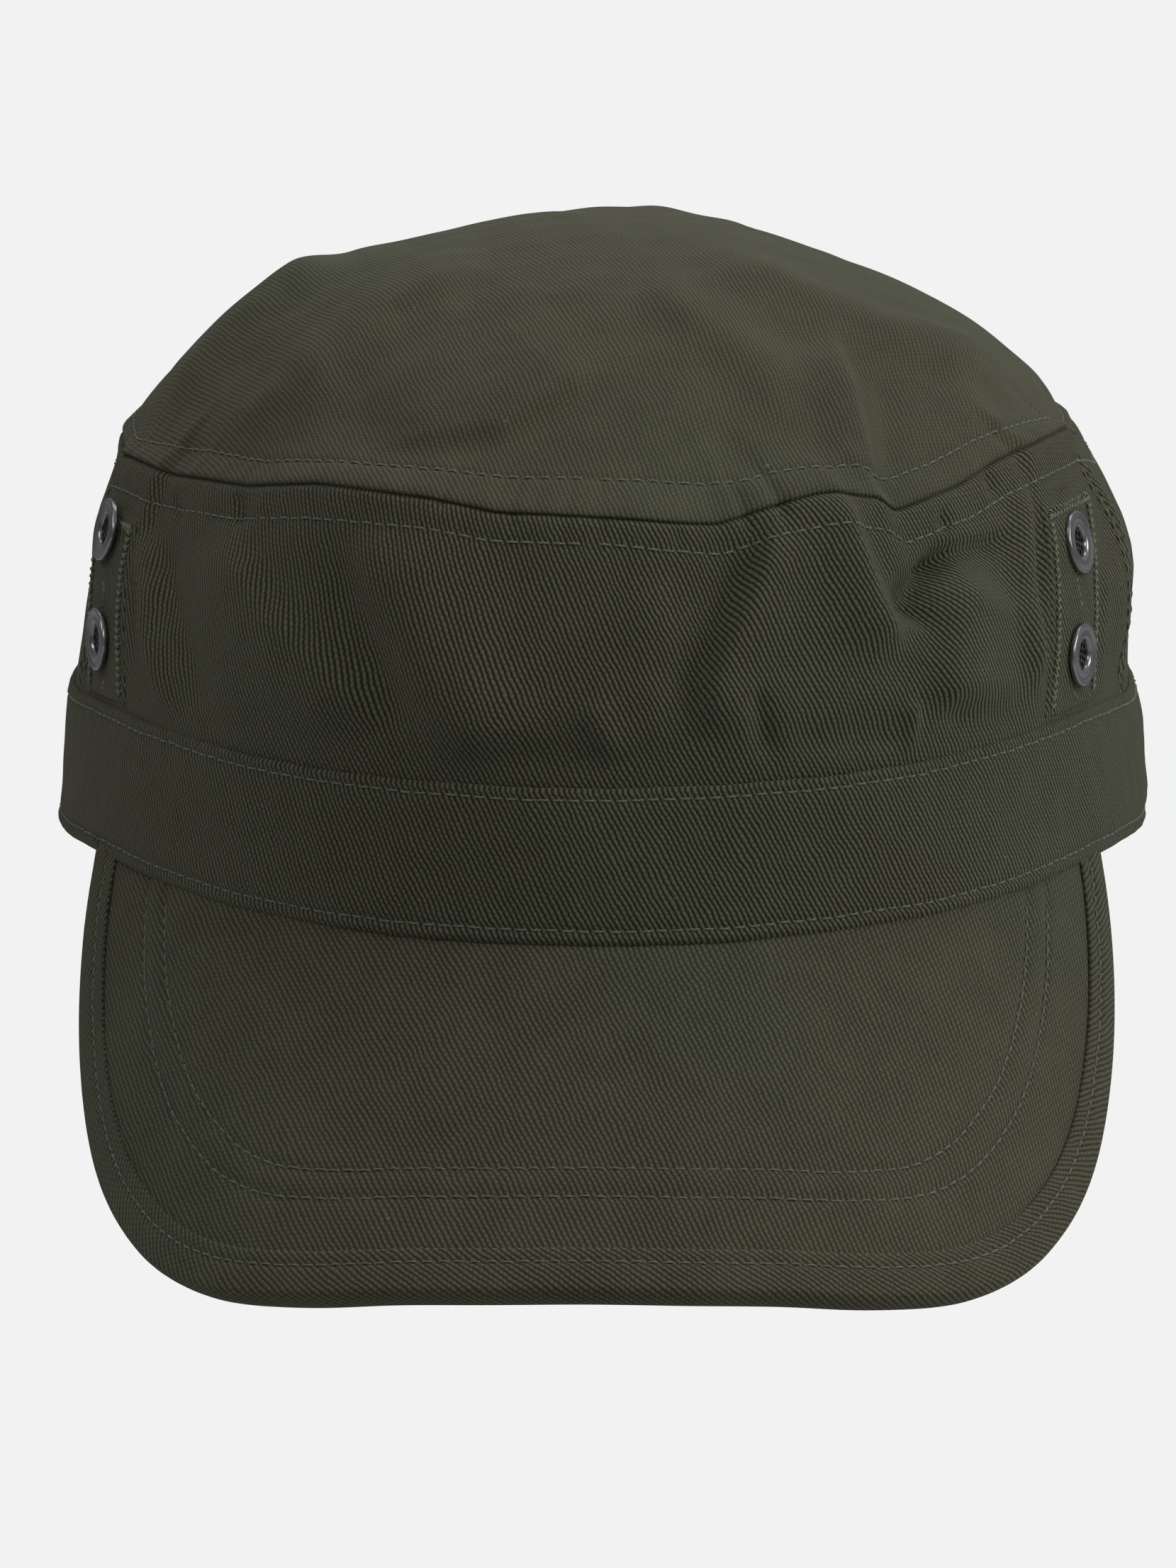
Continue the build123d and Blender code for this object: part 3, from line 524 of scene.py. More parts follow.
def wall_base(theta, zl):
    """Undeformed outer face: (x, y, z) at height zl above the band's bottom edge."""
    theta, zl = np.broadcast_arrays(np.asarray(theta, float), np.asarray(zl, float))
    off = np.full(theta.shape, 4.0)
    for _ in range(3):
        x, y = oval(theta, off)
        z = edge_z(y) + zl
        off = _w(z)
    x, y = oval(theta, off)
    return x, y, z


def _seam_shift():
    th = np.linspace(-176, -4, 500)
    x, y, z = wall_base(th, WALL_H)
    px, py = project(np.stack([x, y, z], -1))
    want = np.interp(px, *zip(*SEAM_PTS), left=np.nan, right=np.nan)
    dz = (py - want) / (PPM * math.cos(_e))
    ok = ~np.isnan(dz)
    dz = np.interp(th, th[ok], dz[ok])
    return th, np.clip(dz, -5.0, 5.0)


_sth, _sdz = _seam_shift()
_win = np.hanning(9) / np.hanning(9).sum()
_sdz = np.convolve(np.pad(_sdz, 4, mode="edge"), _win, mode="valid")


def seam_shift(theta):
    th = np.mod(np.asarray(theta, float) + 180, 360) - 180
    f = np.interp(np.where(th > 90, th - 360, th), _sth, _sdz)
    rear = 0.9 * noise1((np.mod(np.asarray(theta, float) + 90, 360) - 90) / 34.0, 5)
    w = np.clip(np.where(th > 90, smooth(188, 168, np.abs(th)), np.where(th > -90, smooth(-12, 8, th), smooth(-172, -192, th))), 0, 1)
    return f * (1 - w) + rear * w


def side_shift(theta, z):
    """How far the worn sides stand in or out of the moulded shape."""
    th = np.mod(np.asarray(theta, float) + 180, 360) - 180
    d = np.interp(z, *LEFT_IN) * np.exp(-(((np.abs(np.mod(theta, 360) - 180)) / 34.0) ** 2))
    d = d + np.interp(z, *RIGHT_OUT) * np.exp(-((th / 30.0) ** 2))
    return d * (1 - patch_keep(theta, z))


LEFT_IN = ([20, 27, 34, 37, 41, 44, 48, 51, 55, 58, 61, 70], [0, -0.3, -1.1, -1.5, -2.0, -2.0, -2.3, -2.7, -3.1, -3.1, -2.4, -2.0])
RIGHT_OUT = ([20, 27, 34, 37, 41, 44, 48, 51, 55, 58, 61, 70], [0, 0.3, 0.4, 0.8, 1.2, 1.1, 0.2, -0.7, -1.6, -2.4, -3.4, -3.6])

WALL_FOLDS = [
    # left side: upright pleats next to the patch
    ([(192, 690), (196, 790), (210, 890), (234, 980), (264, 1062)], 2.1, 13, 17),
    ([(216, 730), (230, 820), (254, 900), (294, 1010)], -1.2, 13, 20),
    ([(236, 676), (241, 730)], -0.7, 6, 6),
    ([(332, 690), (334, 745)], -0.9, 7, 7),
    ([(300, 720), (325, 800), (372, 880), (440, 940), (540, 1035)], 2.2, 62, 26),
    ([(455, 770), (496, 870), (540, 970), (592, 1056)], -1.7, 32, 26),
    ([(515, 750), (562, 850), (612, 950), (668, 1040), (740, 1090)], 3.0, 46, 96),
    ([(270, 1010), (330, 1060), (420, 1085)], -0.9, 14, 22),
    ([(120, 1000), (200, 1040), (262, 1062)], -0.6, 12, 16),
    # centre
    ([(640, 1072), (760, 1080), (900, 1084)], -0.8, 14, 30),
    ([(830, 985), (872, 1078)], 0.9, 26, 22),
    ([(905, 800), (930, 900), (925, 1020)], 0.8, 52, 40),
    # right of centre: the sharp diagonal dent
    ([(1082, 740), (1040, 820), (1004, 890), (974, 960), (962, 1040)], -1.7, 44, 14),
    ([(1112, 738), (1076, 815), (1040, 890), (1010, 965), (996, 1045)], 2.3, 17, 62),
    # the sharp fold below the step in the seam
    ([(1176, 700), (1196, 780), (1228, 862), (1272, 935)], 3.2, 54, 19),
    ([(1352, 758), (1312, 802), (1284, 840), (1290, 890)], -3.6, 22, 22),
    ([(1296, 800), (1350, 772), (1440, 766)], -2.0, 24, 11),
    ([(1392, 800), (1352, 862), (1334, 930), (1336, 1010)], 2.8, 30, 64),
    ([(1452, 660), (1449, 760), (1446, 860), (1452, 1000)], 2.0, 16, 10),
    ([(1476, 668), (1474, 780), (1476, 900), (1472, 990)], -1.6, 8, 8),
    ([(1556, 700), (1568, 790), (1572, 880), (1566, 960)], 1.2, 10, 10),
    ([(1062, 965), (1086, 1078)], -1.2, 18, 16),
    ([(1110, 1058), (1200, 1052), (1280, 1038)], -1.2, 12, 30),
    ([(1282, 985), (1285, 1068)], 1.0, 12, 8),
    ([(1320, 1010), (1380, 1030), (1440, 1004)], -0.7, 12, 20),
    # puckers between the seam and its stitching
    ([(1330, 712), (1345, 745)], -0.9, 8, 8),
    ([(1400, 672), (1418, 712)], -0.9, 8, 8),
    ([(1050, 716), (1060, 756)], -0.9, 9, 9),
    ([(1100, 712), (1108, 750)], -0.9, 9, 9),
    ([(620, 706), (622, 744)], -0.5, 7, 7),
    ([(720, 726), (722, 758)], -0.4, 7, 7),
    ([(850, 732), (850, 764)], -0.4, 7, 7),
    ([(960, 740), (958, 772)], -0.5, 8, 8),
]

TOP_FOLDS = [
    ([(500, 372), (400, 430), (300, 510), (215, 588)], 2.6, 36, 22),
    ([(690, 362), (560, 440), (470, 520), (400, 608)], 2.3, 46, 26),
    ([(850, 470), (805, 545), (705, 600), (520, 634)], 1.7, 90, 17),
    ([(430, 560), (330, 600), (235, 612)], 0.8, 24, 20),
    # right group
    ([(960, 350), (1060, 392), (1180, 448), (1340, 512), (1470, 572)], 2.8, 32, 30),
    ([(1160, 470), (1194, 560), (1208, 640), (1222, 704)], 2.2, 44, 16),
    ([(1246, 520), (1252, 600), (1250, 680)], -1.0, 14, 26),
    ([(1330, 545), (1372, 600), (1400, 640)], 1.2, 44, 30),
    ([(900, 400), (1010, 465), (1085, 540), (1120, 610)], 1.5, 30, 40),
    ([(990, 590), (1040, 640), (1060, 690)], -0.9, 26, 26),
]


def screen_folds(P, folds):
    px, py = project(P)
    out = np.zeros(px.shape)
    for f in folds:
        out += ridge(px, py, *f)
    return out


def facing(N):
    return smooth(-0.02, 0.22, N @ BACK)


def eye_theta(side, z):
    """Where the line through the two eyelets is at height z; side 1 is +X."""
    lo, hi = ((23.2, 21.2), (19.2, 17.8))[side < 0]
    b = lo + (hi - lo) * (np.asarray(z, float) - 38.0) / 16.0
    return -b if side > 0 else -180 + b


def patch_keep(theta, z):
    """1 where the eyelet patches are, so that the metal stays seated in the cloth."""
    th = np.mod(np.asarray(theta, float) + 180, 360) - 180
    d = np.minimum(np.abs(th - eye_theta(1, z)), np.abs(th - eye_theta(-1, z)))
    return smooth(6.3, 4.5, d)


def in_bore(p):
    """True inside the four eyelet barrels, where the cloth is punched out."""
    out = np.zeros(len(p), bool)
    for side in (1, -1):
        for z in (38.0, 54.0):
            b = math.radians(-eye_theta(1, z) if side > 0 else eye_theta(-1, z) + 180)
            lean = (_w(z + 1) - _w(z - 1)) / 2
            k = math.hypot(1, lean)
            ax = np.array([side * math.cos(b), -math.sin(b), lean]) / k
            r = RS - _w(z)
            o = np.array([side * (r * math.cos(b) - CX), -r * math.sin(b), z])
            q = p - o
            h = q @ ax
            out |= (np.linalg.norm(q - h[:, None] * ax, axis=1) < 2.4) & (np.abs(h) < 8)
    return out


def rear_folds(theta, z):
    """Soft upright folds where the front view can't see."""
    s = s_at(theta)
    a = 0.9 * noise2(s / 34.0, z / 90.0, 21, 7) + 0.35 * noise2(s / 15.0, z / 42.0, 22, 7)
    # the gathers above the opening
    r = np.mod(np.asarray(theta, float), 360) - 90
    a += 0.8 * np.exp(-((np.abs(r) - 31) / 4.0) ** 2) * smooth(60, 30, z) - 0.7 * np.exp(-((np.abs(r) - 24) / 3.0) ** 2) * smooth(62, 34, z)
    return a


SIDE_SEAM_TH = -math.degrees(math.asin(25.0 / (RS - 4.0)))


def side_seams(theta):
    """Distance in mm from the nearest upright panel seam."""
    s = s_at(theta)
    tot = _len[-1]
    out = np.full(np.shape(s), 1e9)
    for th in (SIDE_SEAM_TH, -180 - SIDE_SEAM_TH, 90):
        d = np.abs(np.mod(s - s_at(th) + tot / 2, tot) - tot / 2)
        out = np.minimum(out, d)
    return out


def crown_row(theta):
    """Distance of the crown's stitch row from the seam; it opens up towards the front."""
    b = np.mod(np.asarray(theta, float) + 90 + 180, 360) - 180
    return 4.7 + 3.0 * np.exp(-((b / 38.0) ** 2)) + 0.18 * noise1(s_at(theta) / 26, 62)


def wall_row(theta):
    b = np.mod(np.asarray(theta, float) + 90 + 180, 360) - 180
    return 5.1 - 1.1 * np.exp(-((b / 30.0) ** 2)) + 0.15 * noise1(s_at(theta) / 30, 61)


def wall_point(theta, zl, depth=0.0):
    """The worn wall's outer face; depth goes inwards."""
    theta, zl = np.broadcast_arrays(np.asarray(theta, float), np.asarray(zl, float))
    x, y, z = wall_base(theta, zl)
    t = np.radians(theta)
    eps = 0.6
    zz = edge_z(y) + zl
    lean = (_w(zz + eps) - _w(zz - eps)) / (2 * eps)
    k = np.sqrt(1 + lean**2)
    N = np.stack([np.cos(t) / k, np.sin(t) / k, lean / k], -1)
    P = np.stack([x, y, z], -1)
    f = facing(N)
    ss = side_seams(theta)
    calm = 1 - np.exp(-((ss / 6.0) ** 2))
    d = f * screen_folds(P, WALL_FOLDS) + (1 - f) * calm * rear_folds(theta, z)
    d = d + 0.22 * calm * noise2(s_at(theta) / 13.0, z / 13.0, 31)
    d = (d * (1 - patch_keep(theta, z)) + side_shift(theta, z)) * smooth(21, 32, zl)
    b_ = np.abs(np.mod(np.asarray(theta, float) - 90 + 180, 360) - 180)
    sides = np.exp(-(((b_ - 90) / 30.0) ** 2))
    d = d + 0.9 * sides * np.exp(-(((zl - 22.5) / 5.0) ** 2))
    roll = 0.25 * np.exp(-(((zl - 23) / 4.0) ** 2)) + 0.9 * np.exp(-(((zl - 33) / 6.0) ** 2)) * smooth(100, 125, b_)
    d = d + roll * smooth(60, 84, b_) * (1 - 0.7 * patch_keep(theta, z))
    up = zl / WALL_H
    top = WALL_H - zl
    edge = -0.95 * np.exp(-((top / 0.55) ** 2)) + 0.12 * np.exp(-(((top - 2.1) / 1.2) ** 2)) - 0.26 * np.exp(-(((top - wall_row(theta)) / 0.5) ** 2))
    pucker = 0.20 * calm * noise1(s_at(theta) / 7.0, 41, 6) * smooth(7.5, 1.0, top)
    seam = -0.6 * np.exp(-((ss / 0.7) ** 2)) + 0.35 * np.exp(-(((ss - 1.6) / 1.1) ** 2))
    d = d + edge + pucker + seam * (1 - patch_keep(theta, z) * 0)
    P = P + N * (d - depth)[..., None]
    P[..., 2] += seam_shift(theta) * smooth(0.35, 1.0, up)
    return P


def surf_normal(fn, u, v, du=0.15, dv=0.15):
    a, b = fn(u + du, v), fn(u - du, v)
    c, d = fn(u, v + dv), fn(u, v - dv)
    n = np.cross(a - b, c - d)
    n /= np.linalg.norm(n, axis=-1, keepdims=True)
    return n


STEP = 0.75
shell_bits = []


def opening_bottom(x, grow=0.75):
    """Lower edge of the rear wall at plan position x, above the band's bottom edge."""
    hx = 34.0 + grow
    inside = np.abs(x) < hx
    return np.where(inside, 14 + (26 + grow) * np.sqrt(np.clip(1 - (x / hx) ** 2, 0, 1)), 1.2)


def wall_panel(name, th0, th1, rear=False):
    s0, s1 = s_at(th0), s_at(th1)
    n = max(8, int(abs(s1 - s0) / STEP))
    s = np.linspace(s0, s1, n)
    th = theta_at(s)
    m = int(WALL_H / STEP)
    v = np.linspace(0, 1, m)
    v = v + 0.02 * np.sin(2 * np.pi * v)
    if rear:
        for side in (1, -1):
            te = 90 - side * math.degrees(math.asin(34.75 / (RE - 4.2)))
            if min(th0, th1) < te < max(th0, th1):
                th = np.sort(np.r_[th, te - 0.02, te + 0.02])
    x, y, _ = wall_base(th, 20.0)
    low = opening_bottom(x) if rear else np.full(th.shape, 1.2)
    low = np.where(y < 0, 1.2, low)
    tops = np.array([1.3, 1.0, 0.75, 0.55, 0.38, 0.24, 0.12, 0.0])
    zl = np.concatenate([low[:, None] + (WALL_H - 1.7 - low)[:, None] * v[None], np.repeat(WALL_H - tops[None], len(th), 0)], 1)
    m = zl.shape[1]
    TH = np.repeat(th[:, None], m, 1)
    P = wall_point(TH, zl)
    UV = np.stack([s_at(TH), zl + 0 * TH], -1)
    ob = sheet(name + "_cloth", P, UV, 0.8, M_TWILL, hole=in_bore)
    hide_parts(name)
    shell_bits.append(ob)
    return ob


GAP = 0.03
wall_panel("front_wall_panel", -180 - SIDE_SEAM_TH + GAP, SIDE_SEAM_TH - GAP)
wall_panel("rear_wall_panel_left", SIDE_SEAM_TH + GAP, 90 - 0.1, rear=True)
wall_panel("rear_wall_panel_right", 90.1, 180 - SIDE_SEAM_TH - GAP, rear=True)

# ------------------------------------------------------------------ crown top
_dz = np.array([p[1] for p in DOME])
_do = np.array([p[0] for p in DOME])
_zf = cubic(_do, _dz)
_off_t = np.linspace(7.4, 60, 400)
_z_t = _zf(_off_t)
_l_t = np.r_[0, np.cumsum(np.hypot(np.diff(_off_t), np.diff(_z_t)))]
M1, M2 = ((104, 30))


def _dome_raw(theta, r):
    """The crown before its edge is drawn to the wall; r 0 at the seam, 1 where the profile ends, 2 at the middle."""
    theta, r = np.broadcast_arrays(np.asarray(theta, float), np.asarray(r, float))
    x0, y0, z0 = wall_base(theta, WALL_H)
    l0 = np.interp(z0 + 0.15, _z_t, _l_t)
    rr = np.clip(r, 0, 1)
    L = l0 + rr * (_l_t[-1] - l0)
    off = np.interp(L, _l_t, _off_t)
    z = np.interp(L, _l_t, _z_t)
    x, y = oval(theta, off)
    t = np.radians(theta)
    dist = L - l0 + (r > 1) * 40
    k = np.clip(2 - r, 0, 1)
    x, y = x * k, y * k
    z = z + 3.2 * (1 - k**2)
    slope = np.interp(off, _off_t, np.gradient(_z_t, _off_t)) * k
    kk = np.sqrt(1 + slope**2)
    N = np.stack([np.cos(t) * slope / kk, np.sin(t) * slope / kk, 1 / kk], -1)
    N /= np.linalg.norm(N, axis=-1, keepdims=True)
    P = np.stack([x, y, z], -1)
    f = facing(N)
    inner = smooth(4, 16, dist)
    d = f * screen_folds(P, TOP_FOLDS) * smooth(0.5, 9, dist)
    d = d + (1 - f) * inner * (1.1 * noise2(x / 46.0, y / 60.0, 51, 6) + 0.4 * noise2(x / 19.0, y / 22.0, 52, 7))
    d = d + 0.25 * inner * noise2(x / 15.0, y / 15.0, 53)
    edge = 0.22 * np.exp(-(((dist - 1.6) / 1.8) ** 2)) - 0.28 * np.exp(-(((dist - crown_row(theta)) / 0.55) ** 2))
    pucker = 0.16 * noise1(s_at(theta) / 8.0, 42, 6) * smooth(10, 2, dist)
    d = d + edge + pucker
    P = P + N * d[..., None]
    P[..., 2] -= 2.9 * smooth(-16, 45, y) * inner
    P[..., 2] -= smooth(0, 7, dist) * (2.4 * np.exp(-(((x + 72) / 9) ** 2)) + 3.2 * np.exp(-(((x - 74) / 8.5) ** 2)))
    P[..., 2] += smooth(2, 12, dist) * (2.7 * np.exp(-(((x + 47) / 14) ** 2)) + 1.1 * np.exp(-(((x - 52) / 10) ** 2))) * np.exp(-(((y + 5) / 60) ** 2))
    return P, dist


T0 = -180 - SIDE_SEAM_TH
_tt = np.linspace(T0 + 0.01, T0 + 359.99, 2881)
_out = np.stack([np.cos(np.radians(_tt)), np.sin(np.radians(_tt)), 0 * _tt], -1)
_delta = wall_point(_tt, np.full(_tt.shape, WALL_H - 0.3)) + 0.766 * _out - _dome_raw(_tt, 0 * _tt)[0]


def dome_point(theta, r):
    """The crown's outer face: its edge lies just over the wall's top edge, all the way round."""
    P, dist = _dome_raw(theta, r)
    th = np.mod(np.broadcast_to(np.asarray(theta, float), dist.shape) - T0, 360) + T0
    w = smooth(15, 0, dist)
    for i in range(3):
        P[..., i] += w * np.interp(th, _tt, _delta[:, i])
    groove = 0.95 * np.exp(-((dist / 0.5) ** 2))
    P[..., 0] -= np.cos(np.radians(th)) * groove
    P[..., 1] -= np.sin(np.radians(th)) * groove
    P[..., 2] -= 0.15 * smooth(0.7, 0, dist)
    return P


n = int(_len[-1] / STEP)
th = theta_at(np.linspace(0, _len[-1], n, endpoint=False))
_span = _l_t[-1] - np.interp(wall_base(_tt, WALL_H)[2].mean() + 0.15, _z_t, _l_t)
r = np.r_[np.array([0, 0.12, 0.24, 0.38, 0.55, 0.75, 1.0]) / _span, np.linspace(1.4 / _span, 1, M1), 1 + np.linspace(0, 1, M2 + 1)[1:-1]]
TH, R_ = np.meshgrid(th, r, indexing="ij")
P = dome_point(TH, R_)
N = -grid_normals(P, closed=True) if np.mean(grid_normals(P, closed=True)[..., 2]) < 0 else grid_normals(P, closed=True)
Q = P - N * 0.8
m = P.shape[1]
top_c = P[:, -1].mean(0)
bot_c = Q[:, -1].mean(0)
verts = np.vstack([P.reshape(-1, 3), Q.reshape(-1, 3), [top_c, bot_c]])
_seg = np.linalg.norm(np.diff(P, axis=1), axis=2)
_arc = np.cumsum(np.c_[np.linalg.norm(P[:, -1] - top_c, axis=1), _seg[:, ::-1]], axis=1)[:, ::-1]
_dir = P[..., :2] / np.maximum(np.linalg.norm(P[..., :2], axis=2, keepdims=True), 1e-6)
weave = _dir * _arc[..., None]
uv = np.vstack([weave.reshape(-1, 2)] * 2 + [[[0, 0], [0, 0]]])
idx = np.arange(n * m).reshape(n, m)
i2 = np.roll(idx, -1, 0)
F = np.stack([idx[:, :-1].ravel(), i2[:, :-1].ravel(), i2[:, 1:].ravel(), idx[:, 1:].ravel()], 1)
o = n * m
faces = F.tolist() + (F[:, ::-1] + o).tolist()
faces += [[a, b, 2 * o] for a, b in zip(idx[:, -1], i2[:, -1])]
faces += [[b + o, a + o, 2 * o + 1] for a, b in zip(idx[:, -1], i2[:, -1])]
mid = (P[:, 0] + Q[:, 0]) / 2
E = P[:, 0] - P[:, 1]
E /= np.linalg.norm(E, axis=1, keepdims=True)
ring = np.arange(n) + len(verts)
verts = np.vstack([verts, mid + E * 0.4])
uv = np.vstack([uv, weave[:, 0]])
for r0, r1 in ((idx[:, 0], ring), (ring, idx[:, 0] + o)):
    faces += np.stack([r0, r1, np.roll(r1, -1), np.roll(r0, -1)], 1).tolist()
top = make_object("crown_top_cloth", verts, faces, uv, M_TOP)
# painted shade along the crown seam: wall and crown vertices near the seam get a darkening weight, broken up by noise,
# stored as the "shade" attribute that the cloth materials read
_kd = KDTree(len(_tt))
for i, p in enumerate(wall_point(_tt, np.full(_tt.shape, WALL_H - 0.25))):
    _kd.insert(Vector(p), i)
_kd.balance()
for ob in shell_bits + [top]:
    co = np.zeros(len(ob.data.vertices) * 3)
    ob.data.vertices.foreach_get("co", co)
    co = co.reshape(-1, 3) * 1000
    dark = np.zeros(len(co))
    vary = 0.62 + 0.55 * np.clip(noise2(co[:, 0] / 17.0, co[:, 1] / 17.0, 91, 5), -0.9, 0.7)
    for i in np.nonzero(co[:, 2] > 30)[0]:
        dark[i] = math.exp(-((_kd.find(Vector(co[i]))[2] / 0.55) ** 2))
    ob.data.attributes.new("shade", "FLOAT", "POINT").data.foreach_set("value", (dark * vary).astype(np.float32))
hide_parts("crown_top")
shell_bits.append(top)

# stitch rows along the crown seam
th = theta_at(np.linspace(0.3, _len[-1] - 0.3, 1800))


def near_n(fn, u, v, ref):
    nn = surf_normal(fn, u, v)
    return nn * np.sign(np.einsum("ij,ij->i", nn, ref))[:, None]


ref = np.stack([np.cos(np.radians(th)), np.sin(np.radians(th)), np.full(th.shape, 0.35)], -1)
zt = WALL_H - wall_row(th)
shell_bits.append(stitches("wall_topstitch", wall_point(th, zt), near_n(wall_point, th, zt, ref), M_THREAD))
x0, y0, z0 = wall_base(th, WALL_H)
l0 = np.interp(z0 + 0.15, _z_t, _l_t)
rt = crown_row(th) / (_l_t[-1] - l0)
nn = surf_normal(dome_point, th, rt, 0.15, 0.004)
nn *= np.sign(nn[:, 2])[:, None]
shell_bits.append(stitches("crown_topstitch", dome_point(th, rt), nn, M_THREAD))
for i, tc_ in enumerate((SIDE_SEAM_TH, -180 - SIDE_SEAM_TH, 90)):
    for sgn in (1, -1):
        zz = np.linspace(26 if i < 2 else 47.5, WALL_H - 5.0, 160)
        tt = theta_at(s_at(tc_) + sgn * 2.6) + np.zeros(160)
        ref2 = np.stack([np.cos(np.radians(tt)), np.sin(np.radians(tt)), 0 * tt], -1)
        shell_bits.append(stitches(f"panel_topstitch_{i}{'ab'[sgn > 0]}", wall_point(tt, zz), near_n(wall_point, tt, zz, ref2), M_THREAD))

# ------------------------------------------------------------------ band
END_TH = math.degrees(math.acos(39.4 / RE))


def not_rear(theta):
    """1 at the front and sides, 0 where the strap runs behind the band."""
    b = np.abs(np.mod(np.asarray(theta, float) - 90 + 180, 360) - 180)
    return smooth(60, 84, b)


def band_point(theta, zl, depth=0.0):
    theta, zl = np.broadcast_arrays(np.asarray(theta, float), np.asarray(zl, float))
    x, y = oval(theta, 0.0)
    lean = 0.03 + 0.058 * not_rear(theta)
    for _ in range(2):
        z = edge_z(y) + zl
        x, y = oval(theta, 0.03 * np.maximum(z, 0) + (lean - 0.03) * zl)
    s = s_at(theta)
    t = np.radians(theta)
    d = 0.28 * noise2(s / 38.0, zl / 30.0, 71, 7) + 0.12 * noise2(s / 9.0, zl / 9.0, 72, 8)
    for c, a in ((2.3, 0.30), (21.5, 0.26)):
        d = d - a * np.exp(-(((zl - c) / 0.5) ** 2))
    d = d + 0.24 * np.exp(-(((zl - 1.1) / 0.8) ** 2)) + 0.1 * np.exp(-(((zl - 22.4) / 0.5) ** 2))
    d = d + 0.07 * noise1(s / 5.0, 73, 6) * (np.exp(-(((zl - 2.3) / 2.0) ** 2)) + np.exp(-(((zl - 21.4) / 2.0) ** 2)))
    d = d - 0.25 * smooth(1.6, 0, np.minimum(zl, BAND_H - zl))
    P = np.stack([x + np.cos(t) * (d - depth), y + np.sin(t) * (d - depth), z], -1)
    P[..., 2] += 0.18 * noise1(s / 24.0, 74)
    th = np.mod(theta + 180, 360) - 180
    right, left = np.exp(-((th / 24.0) ** 2)), np.exp(-(((180 - np.abs(th)) / 24.0) ** 2))
    P[..., 0] += 0.9 * right * smooth(24, 16, zl) * smooth(1, 6, zl)
    P[..., 2] += (1.2 * right + 0.5 * left) * smooth(9, 0, zl)
    return P


def band_sheet(name, s0, s1, z0, z1, depth, thick, mat, n_v=30, fn=band_point):
    n = max(4, int((s1 - s0) / STEP))
    s = np.linspace(s0, s1, n)
    v = np.linspace(z0, z1, n_v)
    TH, ZL = np.meshgrid(theta_at(s), v, indexing="ij")
    UV = np.stack(np.meshgrid(s, v, indexing="ij"), -1)
    return sheet(name, fn(TH, ZL, depth), UV, thick, mat)


S_END = s_at(END_TH)


def hem_point(theta, q, depth=0.0):
    """The band's lower edge turned in under the wall; q is the distance inwards."""
    P = band_point(theta, 0.55, 0.9)
    t = np.radians(theta)
    P[..., 0] -= np.cos(t) * q
    P[..., 1] -= np.sin(t) * q
    P[..., 2] += depth + 0.12 * q + 0.08 * noise2(s_at(theta) / 6.0, q / 3.0, 78)
    return P


band = band_sheet("band_cloth", -S_END + 0.3, S_END - 0.3, 0.35, BAND_H - 0.35, 0.0, 1.2, M_BAND, 44)
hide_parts("band")
shell_bits.append(band)
for tag in ("left", "right"):
    s = np.linspace(s_at(-24.0) if tag == "left" else -S_END + 1.0, S_END - 1.0 if tag == "left" else s_at(-156.0), 300)
    HT, HQ = np.meshgrid(theta_at(s), np.linspace(0, 4.6, 7), indexing="ij")
    hem = sheet(f"band_hem_{tag}_cloth", hem_point(HT, HQ), np.stack([s_at(HT), HQ], -1), 0.5, M_BAND)
    shell_bits.append(hem)
s = np.linspace(-S_END + 2.2, S_END - 2.2, 2200)
th = theta_at(s)
rad = np.stack([np.cos(np.radians(th)), np.sin(np.radians(th)), 0 * th], -1)
for nm, c in (("band_topstitch_upper", 21.5), ("band_topstitch_lower", 2.3)):
    shell_bits.append(stitches(nm, band_point(th, c + 0.1 * noise1(s / 40, 75 + int(c))), rad, M_THREAD))
for sg in (1, -1):
    zz = np.linspace(3.0, 20.0, 90)
    tt = theta_at(sg * (S_END - 2.4)) + 0 * zz
    rr = np.stack([np.cos(np.radians(tt)), np.sin(np.radians(tt)), 0 * tt], -1)
    shell_bits.append(stitches(f"band_end_stitch_{'ab'[sg > 0]}", band_point(tt, zz), rr, M_THREAD))


def sweat_point(theta, zl, depth=0.0):
    theta, zl = np.broadcast_arrays(np.asarray(theta, float), np.asarray(zl, float))
    x, y = oval(theta, 5.5)
    s = s_at(theta)
    t = np.radians(theta)
    d = -0.2 - 0.25 * np.abs(noise2(s / 22.0, zl / 40.0, 81, 6)) - depth
    return np.stack([x + np.cos(t) * d, y + np.sin(t) * d, edge_z(y) + zl], -1)


sweat = band_sheet("sweatband_cloth", -S_END + 0.4, S_END - 0.4, 1.0, 28.0, 0.0, 0.8, M_SWEAT, 34, sweat_point)
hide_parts("sweatband")
shell_bits.append(sweat)
for nm, c in (("sweatband_stitch_low", 3.4), ("sweatband_stitch_high", 26.2)):
    shell_bits.append(stitches(nm, sweat_point(th, c + 0 * th, 0.85), -rad, M_THREAD, pitch=2.6, length=2.1))

# blank label on the inside of the sweatband
tl = np.degrees(np.arctan2(55 - CY, -69.0))
sl = s_at(tl)


def label_point(theta, zl, depth=0.0):
    x, y = oval(theta, 6.95)
    return np.stack([x, y, 0 * x + zl], -1)


n_, v_ = 26, np.linspace(4.3, 21.7, 20)
TH, ZL = np.meshgrid(theta_at(np.linspace(sl - 10.5, sl + 10.5, n_)), v_, indexing="ij")
Pl = label_point(TH, ZL)
lab = sheet("size_label_cloth", Pl, np.stack([s_at(TH), ZL], -1), 0.3, M_LABEL)
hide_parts("size_label")
shell_bits.append(lab)


